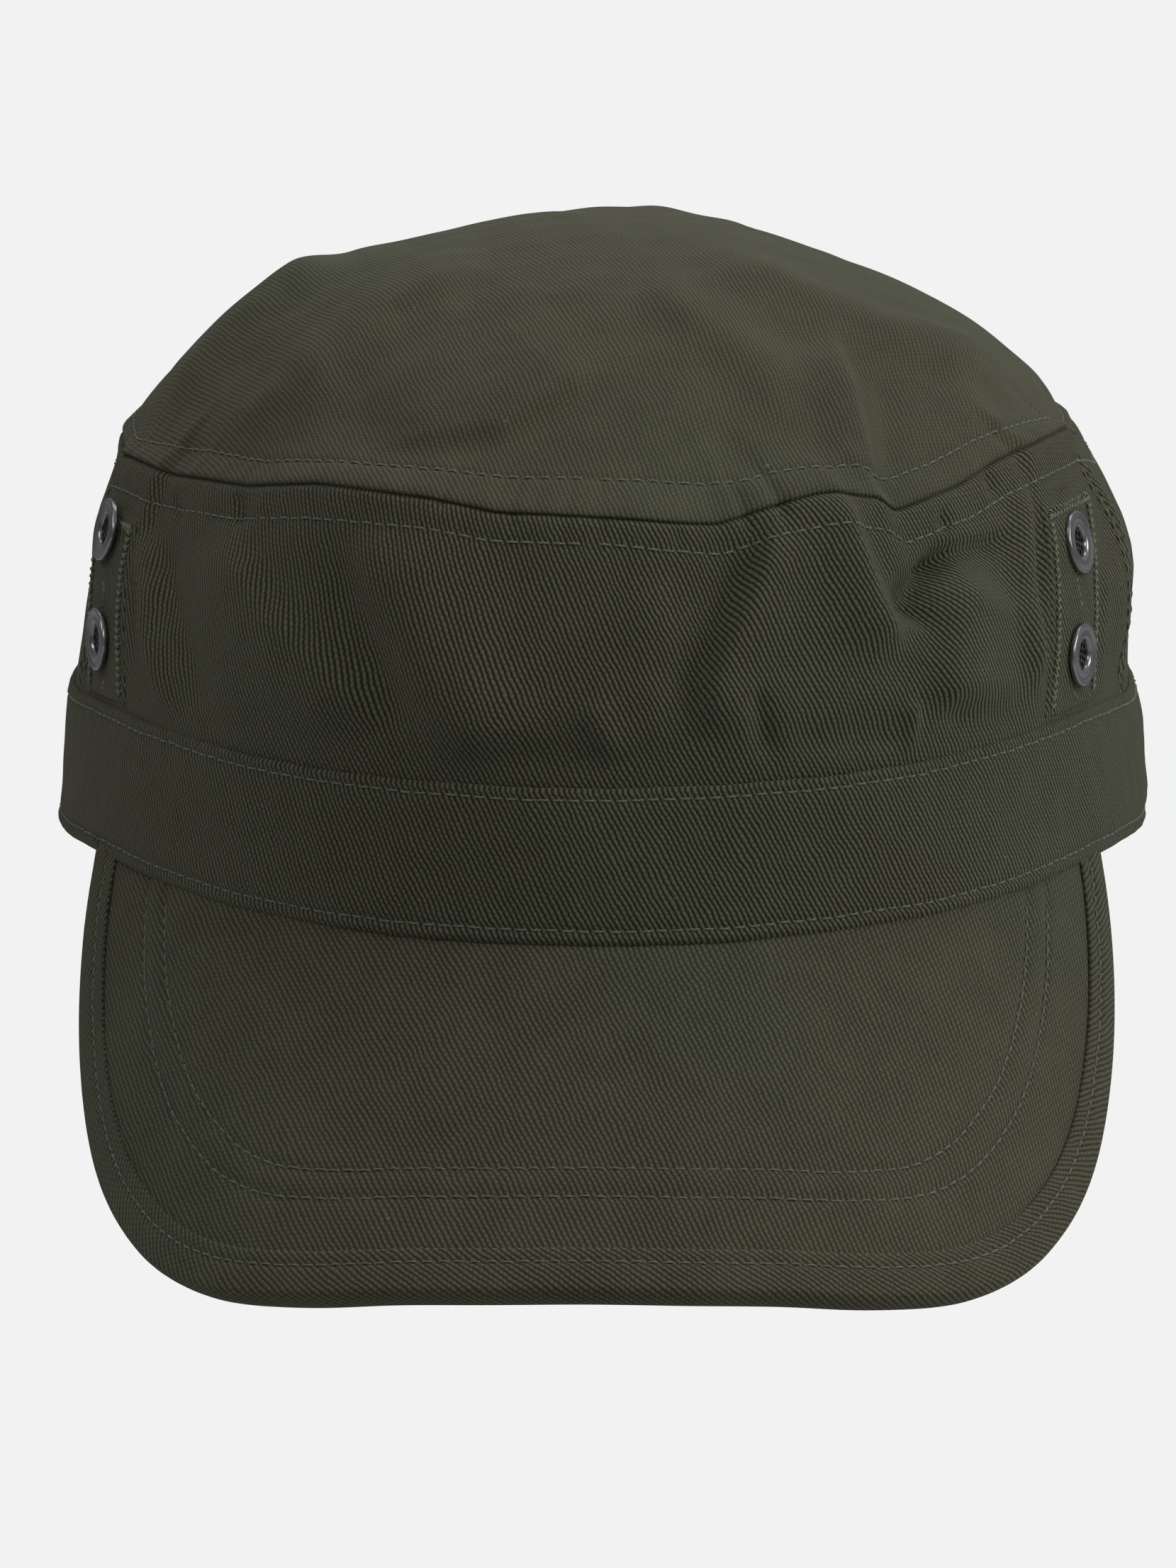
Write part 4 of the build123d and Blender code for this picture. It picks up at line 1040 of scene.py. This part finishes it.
# inside seam tapes
def taped(name, node, s0, s1, zf, z0, z1, nv):
    n = max(5, int(abs(s1 - s0) / (STEP * 1.4)))
    s = np.linspace(s0, s1, n)
    v = np.linspace(z0, z1, nv)
    TH, ZL = np.meshgrid(theta_at(s), v, indexing="ij")
    ob = sheet(name, wall_point(TH, ZL, 1.15), np.stack([s_at(TH), ZL], -1), 0.4, M_TAPE)
    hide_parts(node)
    shell_bits.append(ob)


taped("crown_seam_tape_cloth", "crown_seam_tape", 0.2, _len[-1] - 0.2, None, WALL_H - 7.4, WALL_H - 1.2, 9)
for tag, tc_ in (("left", SIDE_SEAM_TH), ("right", -180 - SIDE_SEAM_TH)):
    taped(f"side_seam_tape_{tag}_cloth", f"side_seam_tape_{tag}", s_at(tc_) - 4.3, s_at(tc_) + 4.3, None, 30.0, WALL_H - 8.4, 26)
taped("rear_seam_tape_cloth", "rear_seam_tape", s_at(90) - 4.3, s_at(90) + 4.3, None, 45.6, WALL_H - 8.4, 9)


# ------------------------------------------------------------------ bindings: a folded tape round an edge
def folded_edge(name, fn, ws, width, top, bottom, thick, mat, uv_scale=1.0, n_leg=9, lo=0.0):
    """fn(w, e, depth) gives the point e inwards from the edge at path parameter w and depth below the cloth's outer face. The tape covers the edge on both faces."""
    legs = np.linspace(width, 0.9, n_leg)
    outer = [(e, -top) for e in legs]
    mid_d, half = (bottom - top) / 2.0, (bottom + top) / 2.0
    arc = np.linspace(90, -90, 11)[1:-1]
    outer += [(0.9 - 0.9 * math.cos(math.radians(a)), mid_d - half * math.sin(math.radians(a))) for a in arc]
    outer += [(e, bottom) for e in legs[::-1]]
    inner = [(e, -top + thick) for e in legs]
    inner += [(0.9 + thick * 0.3 - 0.5 * math.cos(math.radians(a)) * 0.9, mid_d - (half - thick) * math.sin(math.radians(a))) for a in arc]
    inner += [(e, bottom - thick) for e in legs[::-1]]
    sec = outer + inner[::-1]
    cum = np.r_[0, np.cumsum([math.hypot(b[0] - a[0], b[1] - a[1]) for a, b in zip(outer, outer[1:])])]
    vv = np.r_[cum, cum[::-1]]
    C = np.zeros((len(ws), len(sec), 3))
    for j, (e, d) in enumerate(sec):
        C[:, j] = fn(ws, np.full(ws.shape, e), np.full(ws.shape, d))
    path = C[:, n_leg // 2]
    along = np.r_[0, np.cumsum(np.linalg.norm(np.diff(path, axis=0), axis=1))]
    UV = np.stack(np.meshgrid(along, vv, indexing="ij"), -1)
    return tube_section(name, C, UV, mat)


# path of the rear opening in (x, zl), its outward-from-opening direction
def opening_path(grow=0.0, n=160):
    hx, rz = 34.0 + grow, 26.0 + grow
    a = np.linspace(0, np.pi, n)
    up = np.linspace(1.6, 14, 16)[:-1]
    X = np.r_[np.full(15, hx), hx * np.cos(a), np.full(15, -hx)]
    Z = np.r_[up, 14 + rz * np.sin(a), up[::-1]]
    return X, Z


_OX, _OZ = opening_path()
_tx, _tz = np.gradient(_OX), np.gradient(_OZ)
_k = np.hypot(_tx, _tz)
_nx, _nz = _tz / _k, -_tx / _k
_nx[:15], _nz[:15] = 1, 0
_nx[-15:], _nz[-15:] = -1, 0


def opening_fn(w, e, depth):
    i = np.arange(len(_OX))
    X = np.interp(w, i, _OX) + np.interp(w, i, _nx) * e
    Z = np.interp(w, i, _OZ) + np.interp(w, i, _nz) * e
    zz = edge_z(100.0) + Z
    th = np.degrees(np.arccos(np.clip(X / (RE - _w(zz)), -1, 1)))
    return wall_point(th, Z, depth)


ob = folded_edge("rear_opening_binding_cloth", opening_fn, np.linspace(0, len(_OX) - 1, 330), 4.9, 0.62, 1.45, 0.55, M_BIND)
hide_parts("rear_opening_binding")
shell_bits.append(ob)
w = np.linspace(2, len(_OX) - 3, 900)
pp = opening_fn(w, np.full(w.shape, 3.9), np.full(w.shape, -0.62))
nn = pp - opening_fn(w, np.full(w.shape, 3.9), np.full(w.shape, 0.4))
nn /= np.linalg.norm(nn, axis=1, keepdims=True)
shell_bits.append(stitches("rear_opening_stitch", pp, nn, M_THREAD))


# ------------------------------------------------------------------ eyelet patches
def patch(tag, side):
    dth = 4.6
    n_, m_ = 40, 64
    zb = edge_z(-44.0)
    a = np.linspace(-dth, dth, n_)
    v = np.linspace(29.9, 58.8, m_) - zb
    AA, ZL = np.meshgrid(a, v, indexing="ij")
    TH = eye_theta(side, ZL + zb) + AA
    s = s_at(TH)
    half = (s_at(eye_theta(side, 46.0) + dth) - s_at(eye_theta(side, 46.0) - dth)) / 2
    X = AA / dth * half
    lift = 0.34
    inset = np.minimum(half - np.abs(X), v[-1] - ZL)
    bump = -0.24 * np.exp(-(((inset - 1.9) / 0.7) ** 2)) + 0.14 * noise2(X / 6.0 + side, ZL / 8.0, 90 + side) - 0.28 * smooth(1.0, 0, inset)
    near = np.minimum(np.hypot(X, ZL + zb - 38.0), np.hypot(X, ZL + zb - 54.0))
    bump = bump * smooth(4.9, 6.5, near) + 0.2 * smooth(6.0, 4.6, near)
    P = wall_point(TH, ZL, -lift - bump)
    ob = sheet(f"eyelet_patch_{tag}_cloth", P, np.stack([s, ZL], -1), 0.5, M_TWILL, hole=in_bore)
    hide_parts(f"eyelet_patch_{tag}")
    shell_bits.append(ob)

    def row(name, xs, zs, **kw):
        th_ = eye_theta(side, zs + zb) + xs / half * dth
        pp = wall_point(th_, zs, -lift + 0.12)
        rr = np.stack([np.cos(np.radians(th_)), np.sin(np.radians(th_)), 0.08 + 0 * th_], -1)
        shell_bits.append(stitches(name, pp, rr, M_THREAD2, **kw))

    x1, zt, z0 = half - 1.9, v[-1] - 1.9, v[0] + 0.6
    for q, o_ in enumerate((-0.32, 0.32)):
        xs = np.r_[np.full(220, -x1), np.linspace(-x1, x1, 150), np.full(220, x1)] + o_
        zs = np.r_[np.linspace(z0, zt, 220), np.full(150, zt) + o_, np.linspace(zt, z0, 220)]
        wob = 0.16 * noise1(np.linspace(0, 14, xs.size), 95 + side)
        row(f"patch_stitch_{tag}_{q}", xs + wob, zs + wob, pitch=1.15, length=1.0, r=0.23, slant=0.8 * (1 if q else -1), lift=0.1, jitter=0.14)
    for k_, (lo_, hi_) in enumerate(((z0, 38 - 5.2 - zb), (38 + 5.2 - zb, 54 - 5.2 - zb))):
        if hi_ - lo_ > 2:
            zs = np.linspace(lo_, hi_, 70)
            row(f"patch_centre_{tag}_{k_}", 0.8 * np.sin((zs - lo_) / (hi_ - lo_) * 5.5 + side), zs, pitch=1.3, length=1.15, r=0.2, slant=0.4, jitter=0.15)


patch("left", 1)
patch("right", -1)

# ------------------------------------------------------------------ visor
AL = math.radians(40)
V_D = np.array([0, -math.cos(AL), -math.sin(AL)])
V_N = np.array([0, -math.sin(AL), math.cos(AL)])
V_0 = np.array([0, -B, 6.75])
_ax = np.array([0.0, 14.0, 27.0, 44.0, 62.0, 76.0, 80.0, 84.0])
_aq = np.array([0.0, 0.85, 3.2, 9.1, 21.0, 38.1, 44.5, 52.0])
_qf = cubic(np.r_[-_ax[:0:-1], _ax], np.r_[_aq[:0:-1], _aq])
_xt = np.linspace(-84, 84, 1345)
_ut = np.r_[0, np.cumsum(np.hypot(np.diff(_xt), np.diff(_qf(_xt))))]
_ut -= _ut[len(_ut) // 2]
_sl = np.gradient(_qf(_xt), _xt)
OUT_R = [(0.0, 58.9), (16.0, 58.4), (30.0, 56.8), (38.0, 55.6), (46.0, 53.4), (53.1, 50.3), (59.3, 45.5), (64.5, 39.0), (68.5, 31.3), (71.4, 23.9), (74.3, 13.3), (76.5, 0.2), (77.7, -12.6), (78.0, -24.0), (77.5, -36.0), (76.2, -47.0)]
OUT = [(-x, t) for x, t in OUT_R[:0:-1]] + OUT_R
_ou = np.interp([p[0] for p in OUT], _xt, _ut)
_ot = np.array([p[1] for p in OUT])
_oc = np.r_[0, np.cumsum(np.hypot(np.diff(_ou), np.diff(_ot)))]
_fu, _ft = cubic(_oc, _ou), cubic(_oc, _ot)
OUT_LEN = _oc[-1]


def edge_flat(w, e):
    """Flattened visor coordinates (u, t) e inwards from the outline at arc length w."""
    h = 0.3
    du, dt = _fu(w + h) - _fu(w - h), _ft(w + h) - _ft(w - h)
    k = np.hypot(du, dt)
    return _fu(w) + dt / k * e, _ft(w) - du / k * e


def visor_point(u, t, depth=0.0):
    """depth below the visor's upper face."""
    x = np.interp(u, _ut, _xt)
    q = _qf(x)
    sl = np.interp(x, _xt, _sl)
    k = np.sqrt(1 + sl**2)
    P = V_0 + x[..., None] * np.array([1.0, 0, 0]) + np.asarray(t)[..., None] * V_D - q[..., None] * V_N
    Nn = (sl / k)[..., None] * np.array([1.0, 0, 0]) + (1 / k)[..., None] * V_N
    return P - Nn * np.asarray(depth)[..., None] if np.ndim(depth) else P - Nn * depth


def visor_normal(u):
    x = np.interp(u, _ut, _xt)
    sl = np.interp(x, _xt, _sl)
    k = np.sqrt(1 + sl**2)
    return (sl / k)[..., None] * np.array([1.0, 0, 0]) + (1 / k)[..., None] * V_N


def root_flat(x, clear=0.0):
    """Flattened coordinates of the seam under the band at lateral position x."""
    ox, oy = oval(np.linspace(-178, -2, 1400), 0.4)
    yo = np.interp(x, ox, oy)
    t = (-B + _qf(x) * math.sin(AL) - yo) / math.cos(AL)
    return np.interp(x, _xt, _ut), t + clear




def row_at(w, e):
    """The stitch rows drift a little away from the edge along the sides."""
    return e + 1.2 * smooth(0.32, 0.7, np.abs(np.asarray(w) / OUT_LEN * 2 - 1))


ROW_O, ROW_I, BIND_ROW, BIND_W = 16.5, 21.3, 5.1, 7.4


def edge_dist(u, t):
    """Distance inwards from the outline, for grooves under the stitch rows."""
    wl = np.linspace(0, OUT_LEN, 500)
    a, b = _fu(wl), _ft(wl)
    out = np.full(u.shape, 1e9)
    ww = np.zeros(u.shape)
    for i in range(0, 500):
        d = np.hypot(u - a[i], t - b[i])
        ww = np.where(d < out, wl[i], ww)
        out = np.minimum(out, d)
    return out - row_at(ww, 0.0)


def visor_sheet(name, depth, thick, mat, inset, side=1, rows=True, root_gap=0.0, shrink=0.0):
    n_, m_ = ((260, 84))
    w = np.linspace(0.0, 1.0, n_)
    u1, t1 = edge_flat(w * OUT_LEN, inset)
    xr = np.linspace(-76.4, 76.4, n_)
    # even fan between seam and outline
    xr = 76.4 * np.sign(w - 0.5) * (1 - (1 - np.abs(2 * w - 1)) ** 1.0)
    u0, t0 = root_flat(xr, root_gap)
    b = np.linspace(0, 1, m_)
    U = u0[:, None] * (1 - b) + u1[:, None] * b
    T = t0[:, None] * (1 - b) + t1[:, None] * b
    bump = np.zeros(U.shape)
    if rows:
        e = edge_dist(U, T)
        for c in (ROW_O, ROW_I):
            bump -= 0.36 * np.exp(-(((e - c) / 0.6) ** 2))
        bump += 0.16 * np.exp(-(((e - (ROW_O + ROW_I) / 2) / 1.5) ** 2))
        bump += 0.05 * noise1(e * 0 + (U + T) / 4.0, 101, 6) * np.exp(-(((e - 20.6) / 4) ** 2))
    bump += 0.16 * noise2(U / 34, T / 30, 102 + side)
    bump *= smooth(0, 0.06, b)[None]
    P = visor_point(U, T, depth - bump * side)
    if side > 0:
        P = P[::-1]
        U, T = U[::-1], T[::-1]
    return sheet(name, P, np.stack([U, -T], -1), thick, mat)


visor_bits = []
ob = visor_sheet("visor_top_cover_cloth", np.float64(0.0), 0.8, M_VISOR, 1.1, root_gap=-2.0)
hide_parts("visor_top_cover")
visor_bits.append(ob)
ob = visor_sheet("visor_board_core", np.float64(1.2), 1.2, M_BOARD, 1.8, rows=False, root_gap=1.4)
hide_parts("visor_board")
visor_bits.append(ob)
ob = visor_sheet("visor_under_cover_cloth", np.float64(3.35), 0.7, M_VISOR, 1.1, side=-1, root_gap=1.5)
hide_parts("visor_under_cover")
visor_bits.append(ob)


def bind_fn(w, e, depth):
    u, t = edge_flat(w, e)
    wob = 0.10 * noise1(w / 11.0, 111) + 0.06 * noise1(w / 4.0, 112)
    puff = 0.26 * np.sin(np.clip((e - 0.6) / 6.6, 0, 1) * np.pi)
    st = -0.34 * np.exp(-(((e - BIND_ROW) / 0.55) ** 2))
    sgn = np.where(depth < 1.7, -1.0, 1.0)
    return visor_point(u, t, depth + sgn * (puff + st + wob * smooth(0.2, 2, e)))


w = np.linspace(2.0, OUT_LEN - 2.0, 520)
ob = folded_edge("visor_binding_cloth", bind_fn, w, BIND_W, 0.52, 3.92, 0.48, M_BIND, n_leg=14)
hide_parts("visor_binding")
visor_bits.append(ob)

for nm, e0, dep in (("visor_stitch_outer", ROW_O, 0.05), ("visor_stitch_inner", ROW_I, 0.05)):
    w = np.linspace(8, OUT_LEN - 8, 1500)
    u, t = edge_flat(w, row_at(w, e0))
    ur, tr = root_flat(np.interp(u, _ut, _xt))
    ok = t > tr + 2.5
    u, t = u[ok], t[ok]
    visor_bits.append(stitches(nm, visor_point(u, t, 0.30), visor_normal(u), M_THREAD))
    visor_bits.append(stitches(nm + "_under", visor_point(u, t, 3.08), -visor_normal(u), M_THREAD))
w = np.linspace(5, OUT_LEN - 5, 1700)
u, t = edge_flat(w, BIND_ROW)
pp = bind_fn(w, np.full(w.shape, BIND_ROW), np.full(w.shape, -0.52))
visor_bits.append(stitches("visor_binding_stitch", pp, visor_normal(u), M_THREAD))
pp = bind_fn(w, np.full(w.shape, BIND_ROW), np.full(w.shape, 3.92))
visor_bits.append(stitches("visor_binding_stitch_under", pp, -visor_normal(u), M_THREAD))

# ------------------------------------------------------------------ rear strap
STRAP_R = 74.5


def strap_point(deg, z, depth=0.0):
    a = np.radians(deg)
    r = STRAP_R - 0.03 * z - depth
    return np.stack([r * np.sin(a), CY + r * np.cos(a), z + 0 * a], -1)


DEG, ZZ = np.meshgrid(np.linspace(-49.6, 37.6, 230), np.linspace(2.3, 20.7, 30), indexing="ij")
ins = np.minimum(ZZ - 2.0, 21.0 - ZZ)
dp = 0.16 * smooth(1.2, 0, ins) + 0.10 * np.exp(-(((ins - 2.3) / 0.5) ** 2)) - 0.04
P = strap_point(DEG, ZZ, dp)[::-1]
UVs = np.stack([DEG * 1.3, ZZ], -1)[::-1]
strap = sheet("strap_cloth", P, UVs, 1.05, M_BIND)
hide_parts("strap")
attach(strap, "strap")
for nm, z in (("strap_stitch_low", 4.3), ("strap_stitch_high", 18.7)):
    d = np.linspace(-49, 36.5, 900)
    pp = strap_point(d, np.full(d.shape, z), 0.04)
    rr = np.stack([np.sin(np.radians(d)), np.cos(np.radians(d)), 0 * d], -1)
    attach(stitches(nm, pp, rr, M_THREAD, r=0.17, bow=0.02, lift=0.0), "strap")

# the folded loop that holds the buckle
ang = math.radians(17.0)
bx, br = 7.4, 78.3
ex, ey = np.array([math.cos(ang), -math.sin(ang)]), np.array([math.sin(ang), math.cos(ang)])


def loc(x, r_):
    return np.array([0, CY]) + x * ex + r_ * ey


outer, inner = [], []
for a in np.linspace(38.0, 25.8, 12):
    q = np.radians(a)
    outer.append(((76.15 + 1.55) * math.sin(q), CY + (76.15 + 1.55) * math.cos(q)))
for a in np.linspace(62, 270 + 20, 22):
    q = math.radians(a)
    p = loc(bx + 1.84 * math.cos(q), br + 1.84 * math.sin(q))
    outer.append(tuple(p))
for a in np.linspace(25.8, 38.0, 12):
    q = np.radians(a)
    outer.append(((76.15 + 0.05) * math.sin(q), CY + (76.15 + 0.05) * math.cos(q)))
outer = np.array(outer)
zs = np.linspace(2.75, 20.25, 24)
k_ = len(outer)
hole = np.array([loc(bx + 1.1 * math.cos(q), br + 1.1 * math.sin(q)) for q in np.linspace(0, 2 * np.pi, 24, endpoint=False)])
cen = outer.mean(0)
rows_ = []
for i, z in enumerate(zs):
    edge_in = min(z - zs[0], zs[-1] - z)
    rows_.append(np.c_[outer, np.full(k_, z)])
C = np.stack(rows_)
per = np.r_[0, np.cumsum(np.hypot(*np.diff(outer, axis=0).T))]
UV = np.stack([np.tile(per, (len(zs), 1)), np.repeat(zs[:, None], k_, 1)], -1)
nv = len(zs) * k_
idx = np.arange(nv).reshape(len(zs), k_)
faces = np.stack([idx[:-1].ravel(), np.roll(idx[:-1], -1, 1).ravel(), np.roll(idx[1:], -1, 1).ravel(), idx[1:].ravel()], 1).tolist()
# the bore round the bar
hv = np.vstack([np.c_[hole, np.full(24, z)] for z in (zs[0], zs[-1])])
verts = np.vstack([C.reshape(-1, 3), hv])
h0, h1 = nv + np.arange(24), nv + 24 + np.arange(24)
faces += np.stack([h0, h1, np.roll(h1, -1), np.roll(h0, -1)], 1).tolist()
import bmesh

me = bpy.data.meshes.new("buckle_loop_cloth")
bm = bmesh.new()
bv = [bm.verts.new(v * 0.001) for v in verts]
for f in faces:
    bm.faces.new([bv[i] for i in f])
for row, hh in ((idx[0], h0), (idx[-1], h1)):
    e1 = [bm.edges.get((bv[a], bv[b])) for a, b in zip(row, np.roll(row, -1))]
    e2 = [bm.edges.get((bv[a], bv[b])) for a, b in zip(hh, np.roll(hh, -1))]
    bmesh.ops.triangle_fill(bm, use_beauty=True, edges=e1 + e2)
bmesh.ops.recalc_face_normals(bm, faces=bm.faces)
uvl = bm.loops.layers.uv.new("weave")
for f in bm.faces:
    for lp in f.loops:
        co = lp.vert.co * 1000
        lp[uvl].uv = (math.degrees(math.atan2(co.x, co.y - CY)) * 1.3, co.z)
bm.to_mesh(me)
bm.free()
me.materials.append(M_BIND)
loop_ob = bpy.data.objects.new("buckle_loop_cloth", me)
bpy.context.scene.collection.objects.link(loop_ob)
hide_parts("buckle_loop")
shell_bits.append(loop_ob)
for i, dg in enumerate((27.6, 29.4, 36.6)):
    z = np.linspace(3.6, 19.4, 80)
    a = math.radians(dg)
    pp = np.stack([0 * z + 77.72 * math.sin(a), 0 * z + CY + 77.72 * math.cos(a), z], -1)
    rr = np.stack([0 * z + math.sin(a), 0 * z + math.cos(a), 0 * z], -1)
    shell_bits.append(stitches(f"loop_stitch_{i}", pp, rr, M_THREAD))

# ------------------------------------------------------------------ CAD metal, shown as it is
for name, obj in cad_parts.items():
    mat = M_SCREEN if "screens" in name else M_METAL
    obj.data.materials.clear()
    obj.data.materials.append(mat)
    for p in obj.data.polygons:
        p.use_smooth = True
    if not obj.hide_render:
        md = obj.modifiers.new("edge", "EDGE_SPLIT")
        md.split_angle = math.radians(38)

# ------------------------------------------------------------------ shell pieces ride on the shell body; visor pieces are baked in place
for o_ in shell_bits:
    if o_ is not None:
        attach(o_, "shell")
for o_ in visor_bits:
    if o_ is not None:
        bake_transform(o_)

# ------------------------------------------------------------------ studio
bpy.ops.mesh.primitive_plane_add(size=14, location=(0, 0, -0.30))
floor = bpy.context.object
floor.name = "floor"
fm, nt, bsdf = new_mat("floor_pale")
bsdf.inputs["Base Color"].default_value = (0.5, 0.5, 0.5, 1)
bsdf.inputs["Roughness"].default_value = 0.9
bsdf.inputs["Specular IOR Level"].default_value = 0.1
g = G(nt)
em = g.n("ShaderNodeEmission")
em.inputs["Color"].default_value = (0.888, 0.888, 0.888, 1)
lp = g.n("ShaderNodeLightPath")
mx = g.n("ShaderNodeMixShader")
g.put(mx.inputs[0], lp.outputs["Is Camera Ray"])
nt.links.new(bsdf.outputs[0], mx.inputs[1])
nt.links.new(em.outputs[0], mx.inputs[2])
clear = g.n("ShaderNodeBsdfTransparent")
geo = g.n("ShaderNodeNewGeometry")
mx2 = g.n("ShaderNodeMixShader")
g.put(mx2.inputs[0], g.math("MULTIPLY", geo.outputs["Backfacing"], lp.outputs["Is Camera Ray"]))
nt.links.new(mx.outputs[0], mx2.inputs[1])
nt.links.new(clear.outputs[0], mx2.inputs[2])
nt.links.new(mx2.outputs[0], [n_ for n_ in nt.nodes if n_.type == "OUTPUT_MATERIAL"][0].inputs[0])
floor.data.materials.append(fm)

world = bpy.data.worlds.new("studio")
bpy.context.scene.world = world
world.use_nodes = True
nt = world.node_tree
nt.nodes.clear()
g = G(nt)
wo = nt.nodes.new("ShaderNodeOutputWorld")
tc = g.n("ShaderNodeTexCoord")
sep = g.n("ShaderNodeSeparateXYZ")
g.put(sep.inputs[0], tc.outputs["Generated"])
lum = g.math("ADD", g.math("MULTIPLY", sep.outputs[2], 0.13), 0.20)
lum = g.math("ADD", lum, g.math("MULTIPLY", sep.outputs[0], 0.10))
lum = g.math("ADD", lum, g.math("MULTIPLY", sep.outputs[1], 0.05))
bg1 = g.n("ShaderNodeBackground")
g.put(bg1.inputs["Strength"], lum)
bg1.inputs["Color"].default_value = (1.0, 1.0, 1.0, 1)
bg2 = g.n("ShaderNodeBackground")
bg2.inputs["Color"].default_value = (0.888, 0.888, 0.888, 1)
lp = g.n("ShaderNodeLightPath")
mx = g.n("ShaderNodeMixShader")
g.put(mx.inputs[0], lp.outputs["Is Camera Ray"])
nt.links.new(bg1.outputs[0], mx.inputs[1])
nt.links.new(bg2.outputs[0], mx.inputs[2])
nt.links.new(mx.outputs[0], wo.inputs[0])


def area(name, loc_, size, power, target=(0, 0, 0.03)):
    ld = bpy.data.lights.new(name, "AREA")
    ld.shape = "RECTANGLE"
    ld.size, ld.size_y = size
    ld.energy = power
    lo = bpy.data.objects.new(name, ld)
    bpy.context.scene.collection.objects.link(lo)
    lo.location = loc_
    lo.rotation_euler = (Vector(target) - Vector(loc_)).to_track_quat("-Z", "Y").to_euler()
    return lo


area("key_right", (1.5, -0.45, 0.85), (0.8, 1.0), 13.5)
area("top_back", (0.2, 0.6, 1.5), (1.3, 0.7), 4.1)
area("left_soft", (-1.05, -0.75, 1.4), (0.8, 1.0), 6.1)
area("front_top", (0.35, -1.7, 1.15), (0.7, 0.6), 4.2)

cam_data = bpy.data.cameras.new("cam")
cam_data.sensor_fit = "VERTICAL"
cam_data.sensor_height = 36.0
cam_data.lens = FOCAL / H * 36.0
cam_data.clip_start, cam_data.clip_end = 0.05, 50
cam = bpy.data.objects.new("cam", cam_data)
bpy.context.scene.collection.objects.link(cam)
cam.location = Vector(EYE * 0.001)
cam.rotation_euler = Vector(-BACK).to_track_quat("-Z", "Y").to_euler()
bpy.context.scene.camera = cam
bpy.context.scene.view_settings.view_transform = "Standard"
bpy.context.scene.view_settings.look = "None"
